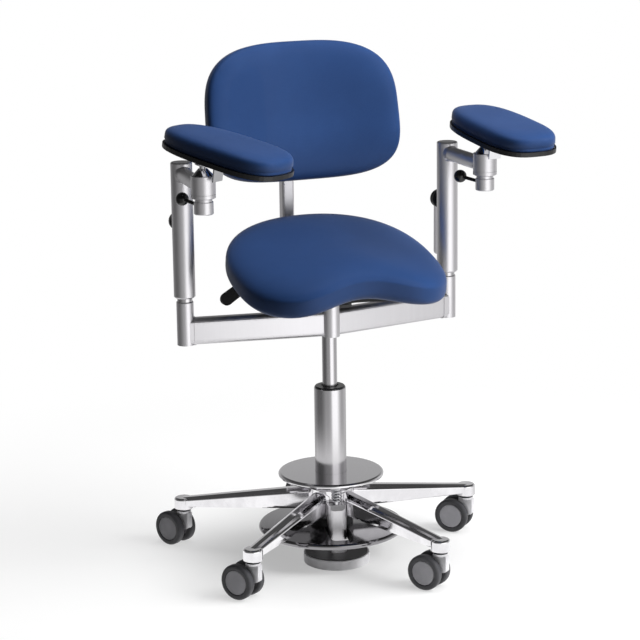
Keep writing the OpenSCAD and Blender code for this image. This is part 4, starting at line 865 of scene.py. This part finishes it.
# Painted shadow under the stool: the glow's share at its middle, and the distances over which it comes back.
UNDER_SHADOW_SHARE = 0.62
UNDER_SHADOW_FADE = (0.1, 0.42)
SKY_FILL = 0.035
# Name, place and target in metres, width and height in metres, watts
LAMPS = (
    ("key_right", (1.81, -1.2, 1.95), (0.0, 0.0, 0.6), (1.5, 1.5), 88.0),
    ("overhead", (0.35, -0.15, 2.7), (0.0, 0.0, 0.5), (1.8, 1.8), 44.0),
    ("low_right", (1.55, -2.4, 0.45), (0.0, 0.0, 0.5), (1.2, 0.7), 26.0),
)
# The screen, in millimetres. Its tones go by degrees from the camera's direction; 1 is the floor's white.
SCREEN = dict(foot=0.4, radius=2600, height=3000, roof=1500)
SCREEN_TURN = 247.8
SCREEN_TONES = ((-180, 0.58), (-150, 0.5), (-115, 0.25), (-95, 0.14), (-65, 0.14), (-48, 0.26), (-28, 0.42),
                (-4, 0.46), (8, 0.7), (18, 1.75), (52, 1.75), (64, 1.2), (76, 0.75), (90, 0.55), (110, 0.6),
                (125, 0.75), (150, 0.6), (180, 0.58))
NEAR_TONES = ((-180, 0.6), (-140, 0.7), (-110, 1.1), (90, 1.15), (130, 0.7), (180, 0.6))
ROOF_TONE = 0.07
NEAR_FADE = (560, 950)
ROOF_FADE = (650, 1750)
SCREEN_AROUND = 120
# Levels of the cloth on the floor, then of the wall and the roof; the poles close both ends
SCREEN_CLIMB = ((-0.98, -0.001, 40), (0.001, 1.98, 40))


def lay_floor():
    """Pale floor that keeps the stool's shadow near it, adds a painted shadow under the stool, and fades to
    plain white further out.
    """
    corner = FLOOR_HALF / MM
    points = [(-corner, -corner, 0), (corner, -corner, 0), (corner, corner, 0), (-corner, corner, 0)]
    mesh = bpy.data.meshes.new("floor")
    mesh.from_pydata((np.array(points) * MM).tolist(), [], [(0, 1, 2, 3)])
    floor = bpy.data.objects.new("floor", mesh)
    bpy.context.scene.collection.objects.link(floor)
    material = bpy.data.materials.new("pale_floor")
    material.use_nodes = True
    tree = material.node_tree
    tree.nodes.remove(tree.nodes["Principled BSDF"])
    out = tree.nodes["Material Output"]
    place = add(tree, "ShaderNodeTexCoord").outputs["Object"]
    far = add(tree, "ShaderNodeVectorMath", {"operation": "LENGTH"}, i0=place).outputs["Value"]
    matt = add(tree, "ShaderNodeBsdfDiffuse", Color=(FLOOR_GREY,) * 3 + (1,))
    # Painted shadow: the glow is weaker close to the stool's axis.
    strength = fade(tree, far, UNDER_SHADOW_FADE, (FLOOR_GLOW * UNDER_SHADOW_SHARE, FLOOR_GLOW))
    glow = add(tree, "ShaderNodeEmission", Strength=strength)
    both = add(tree, "ShaderNodeAddShader", i0=matt.outputs[0], i1=glow.outputs[0])
    white = add(tree, "ShaderNodeEmission", Strength=1.0)
    near = add(tree, "ShaderNodeMixShader",
               i0=fade(tree, far, FLOOR_FADE), i1=both.outputs[0], i2=white.outputs[0])
    sheet = add(tree, "ShaderNodeBsdfDiffuse", Color=fade(tree, far, BOUNCE_FADE, FLOOR_BOUNCE))
    final = add(tree, "ShaderNodeMixShader", i0=seen_rays(tree), i1=sheet.outputs[0], i2=near.outputs[0])
    tree.links.new(final.outputs[0], out.inputs["Surface"])
    mesh.materials.append(material)


def fade(tree, value, ends, values=(0.0, 1.0)):
    """Goes smoothly from one value to the other as a distance goes from one end to the other."""
    node = add(tree, "ShaderNodeMapRange", {"interpolation_type": "SMOOTHSTEP"}, i0=value)
    for socket, number in zip(node.inputs[1:5], (*ends, *values)):
        socket.default_value = number
    return node.outputs["Result"]


def seen_rays(tree):
    """1 for rays that the camera, a reflection or a clear piece sees, and 0 for rays that only light."""
    path = tree.nodes.new("ShaderNodeLightPath")
    seen = add(tree, "ShaderNodeMath", {"operation": "MAXIMUM"},
               i0=path.outputs["Is Camera Ray"], i1=path.outputs["Is Glossy Ray"])
    return add(tree, "ShaderNodeMath", {"operation": "MAXIMUM"},
               i0=seen.outputs[0], i1=path.outputs["Is Transmission Ray"]).outputs[0]


def light_world():
    """White background where it is seen, and an even grey fill where it only lights."""
    world = bpy.data.worlds.new("studio")
    bpy.context.scene.world = world
    world.use_nodes = True
    tree = world.node_tree
    seen = tree.nodes["Background"]
    seen.inputs["Color"].default_value = (1, 1, 1, 1)
    seen.inputs["Strength"].default_value = 1.0
    fill = add(tree, "ShaderNodeBackground", Color=(1, 1, 1, 1), Strength=SKY_FILL)
    both = add(tree, "ShaderNodeMixShader", i0=seen_rays(tree), i1=fill.outputs[0], i2=seen.outputs[0])
    tree.links.new(both.outputs[0], tree.nodes["World Output"].inputs["Surface"])


def hang_lamp(name, place, target, size, power):
    """Soft box at a place, turned to its target. It isn't seen in the shiny faces."""
    data = bpy.data.lights.new(name, "AREA")
    data.shape, data.size, data.size_y, data.energy = "RECTANGLE", size[0], size[1], power
    lamp = bpy.data.objects.new(name, data)
    bpy.context.scene.collection.objects.link(lamp)
    lamp.location = place
    lamp.rotation_euler = (Vector(target) - Vector(place)).to_track_quat("-Z", "Y").to_euler()
    lamp.visible_glossy = False


def screen_surface(turn, climb, s=SCREEN):
    """Round screen: a cloth on the floor, an upright wall, then a quarter ellipse over to a flat roof."""
    ground = np.clip(climb + 1, 0, 1)
    bend = TAU / 4 * np.clip(climb - 1, 0, 1)
    radius = s["radius"] * ground * np.cos(bend)
    z = s["foot"] + s["roof"] * np.clip(climb, 0, 1) + (s["height"] - s["roof"]) * np.sin(bend)
    return np.stack([radius * np.cos(turn), radius * np.sin(turn), z + 0 * turn], -1)


def screen_tones(points):
    """Tone by direction, read from two lists of angles: one for the floor near the stool, one for the rest.

    Tones go over smoothly from near to far, and the wall darkens as smoothly towards the roof."""
    x, y, z = points.T
    way = (np.degrees(np.arctan2(y, x)) - SCREEN_TURN + 180) % 360 - 180
    near, far = [np.interp(way, *zip(*tones)) for tones in (NEAR_TONES, SCREEN_TONES)]
    tone = near + (far - near) * soft_step(np.hypot(x, y), *NEAR_FADE)
    return tone + (ROOF_TONE - tone) * soft_step(z, *ROOF_FADE)


def hang_screen():
    """Screen round the stool that only its shiny faces see: pale, grey and dark cloths, and a dark roof."""
    turn = np.linspace(0, TAU, SCREEN_AROUND, endpoint=False)[None, :]
    climb = np.concatenate([np.linspace(*ends) for ends in SCREEN_CLIMB])[:, None]
    rings = screen_surface(turn, climb)
    points, faces = skin_rings(rings, (0, 0, SCREEN["foot"]), (0, 0, SCREEN["height"]))
    mesh = bpy.data.meshes.new("screen")
    mesh.from_pydata((points * MM).tolist(), [], faces)
    glow = mesh.attributes.new("glow", "FLOAT", "POINT")
    glow.data.foreach_set("value", screen_tones(points).astype(np.float32))
    screen = bpy.data.objects.new("screen", mesh)
    bpy.context.scene.collection.objects.link(screen)
    material = bpy.data.materials.new("screen_cloth")
    material.use_nodes = True
    tree = material.node_tree
    tree.nodes.remove(tree.nodes["Principled BSDF"])
    tone = add(tree, "ShaderNodeAttribute", {"attribute_name": "glow"}).outputs["Fac"]
    cloth = add(tree, "ShaderNodeEmission", Strength=tone)
    tree.links.new(cloth.outputs[0], tree.nodes["Material Output"].inputs["Surface"])
    mesh.materials.append(material)
    screen.visible_camera = screen.visible_diffuse = screen.visible_transmission = False
    screen.visible_volume_scatter = screen.visible_shadow = False


lay_floor()
light_world()
for lamp in LAMPS:
    hang_lamp(*lamp)
hang_screen()
bpy.context.scene.view_settings.view_transform = "Standard"
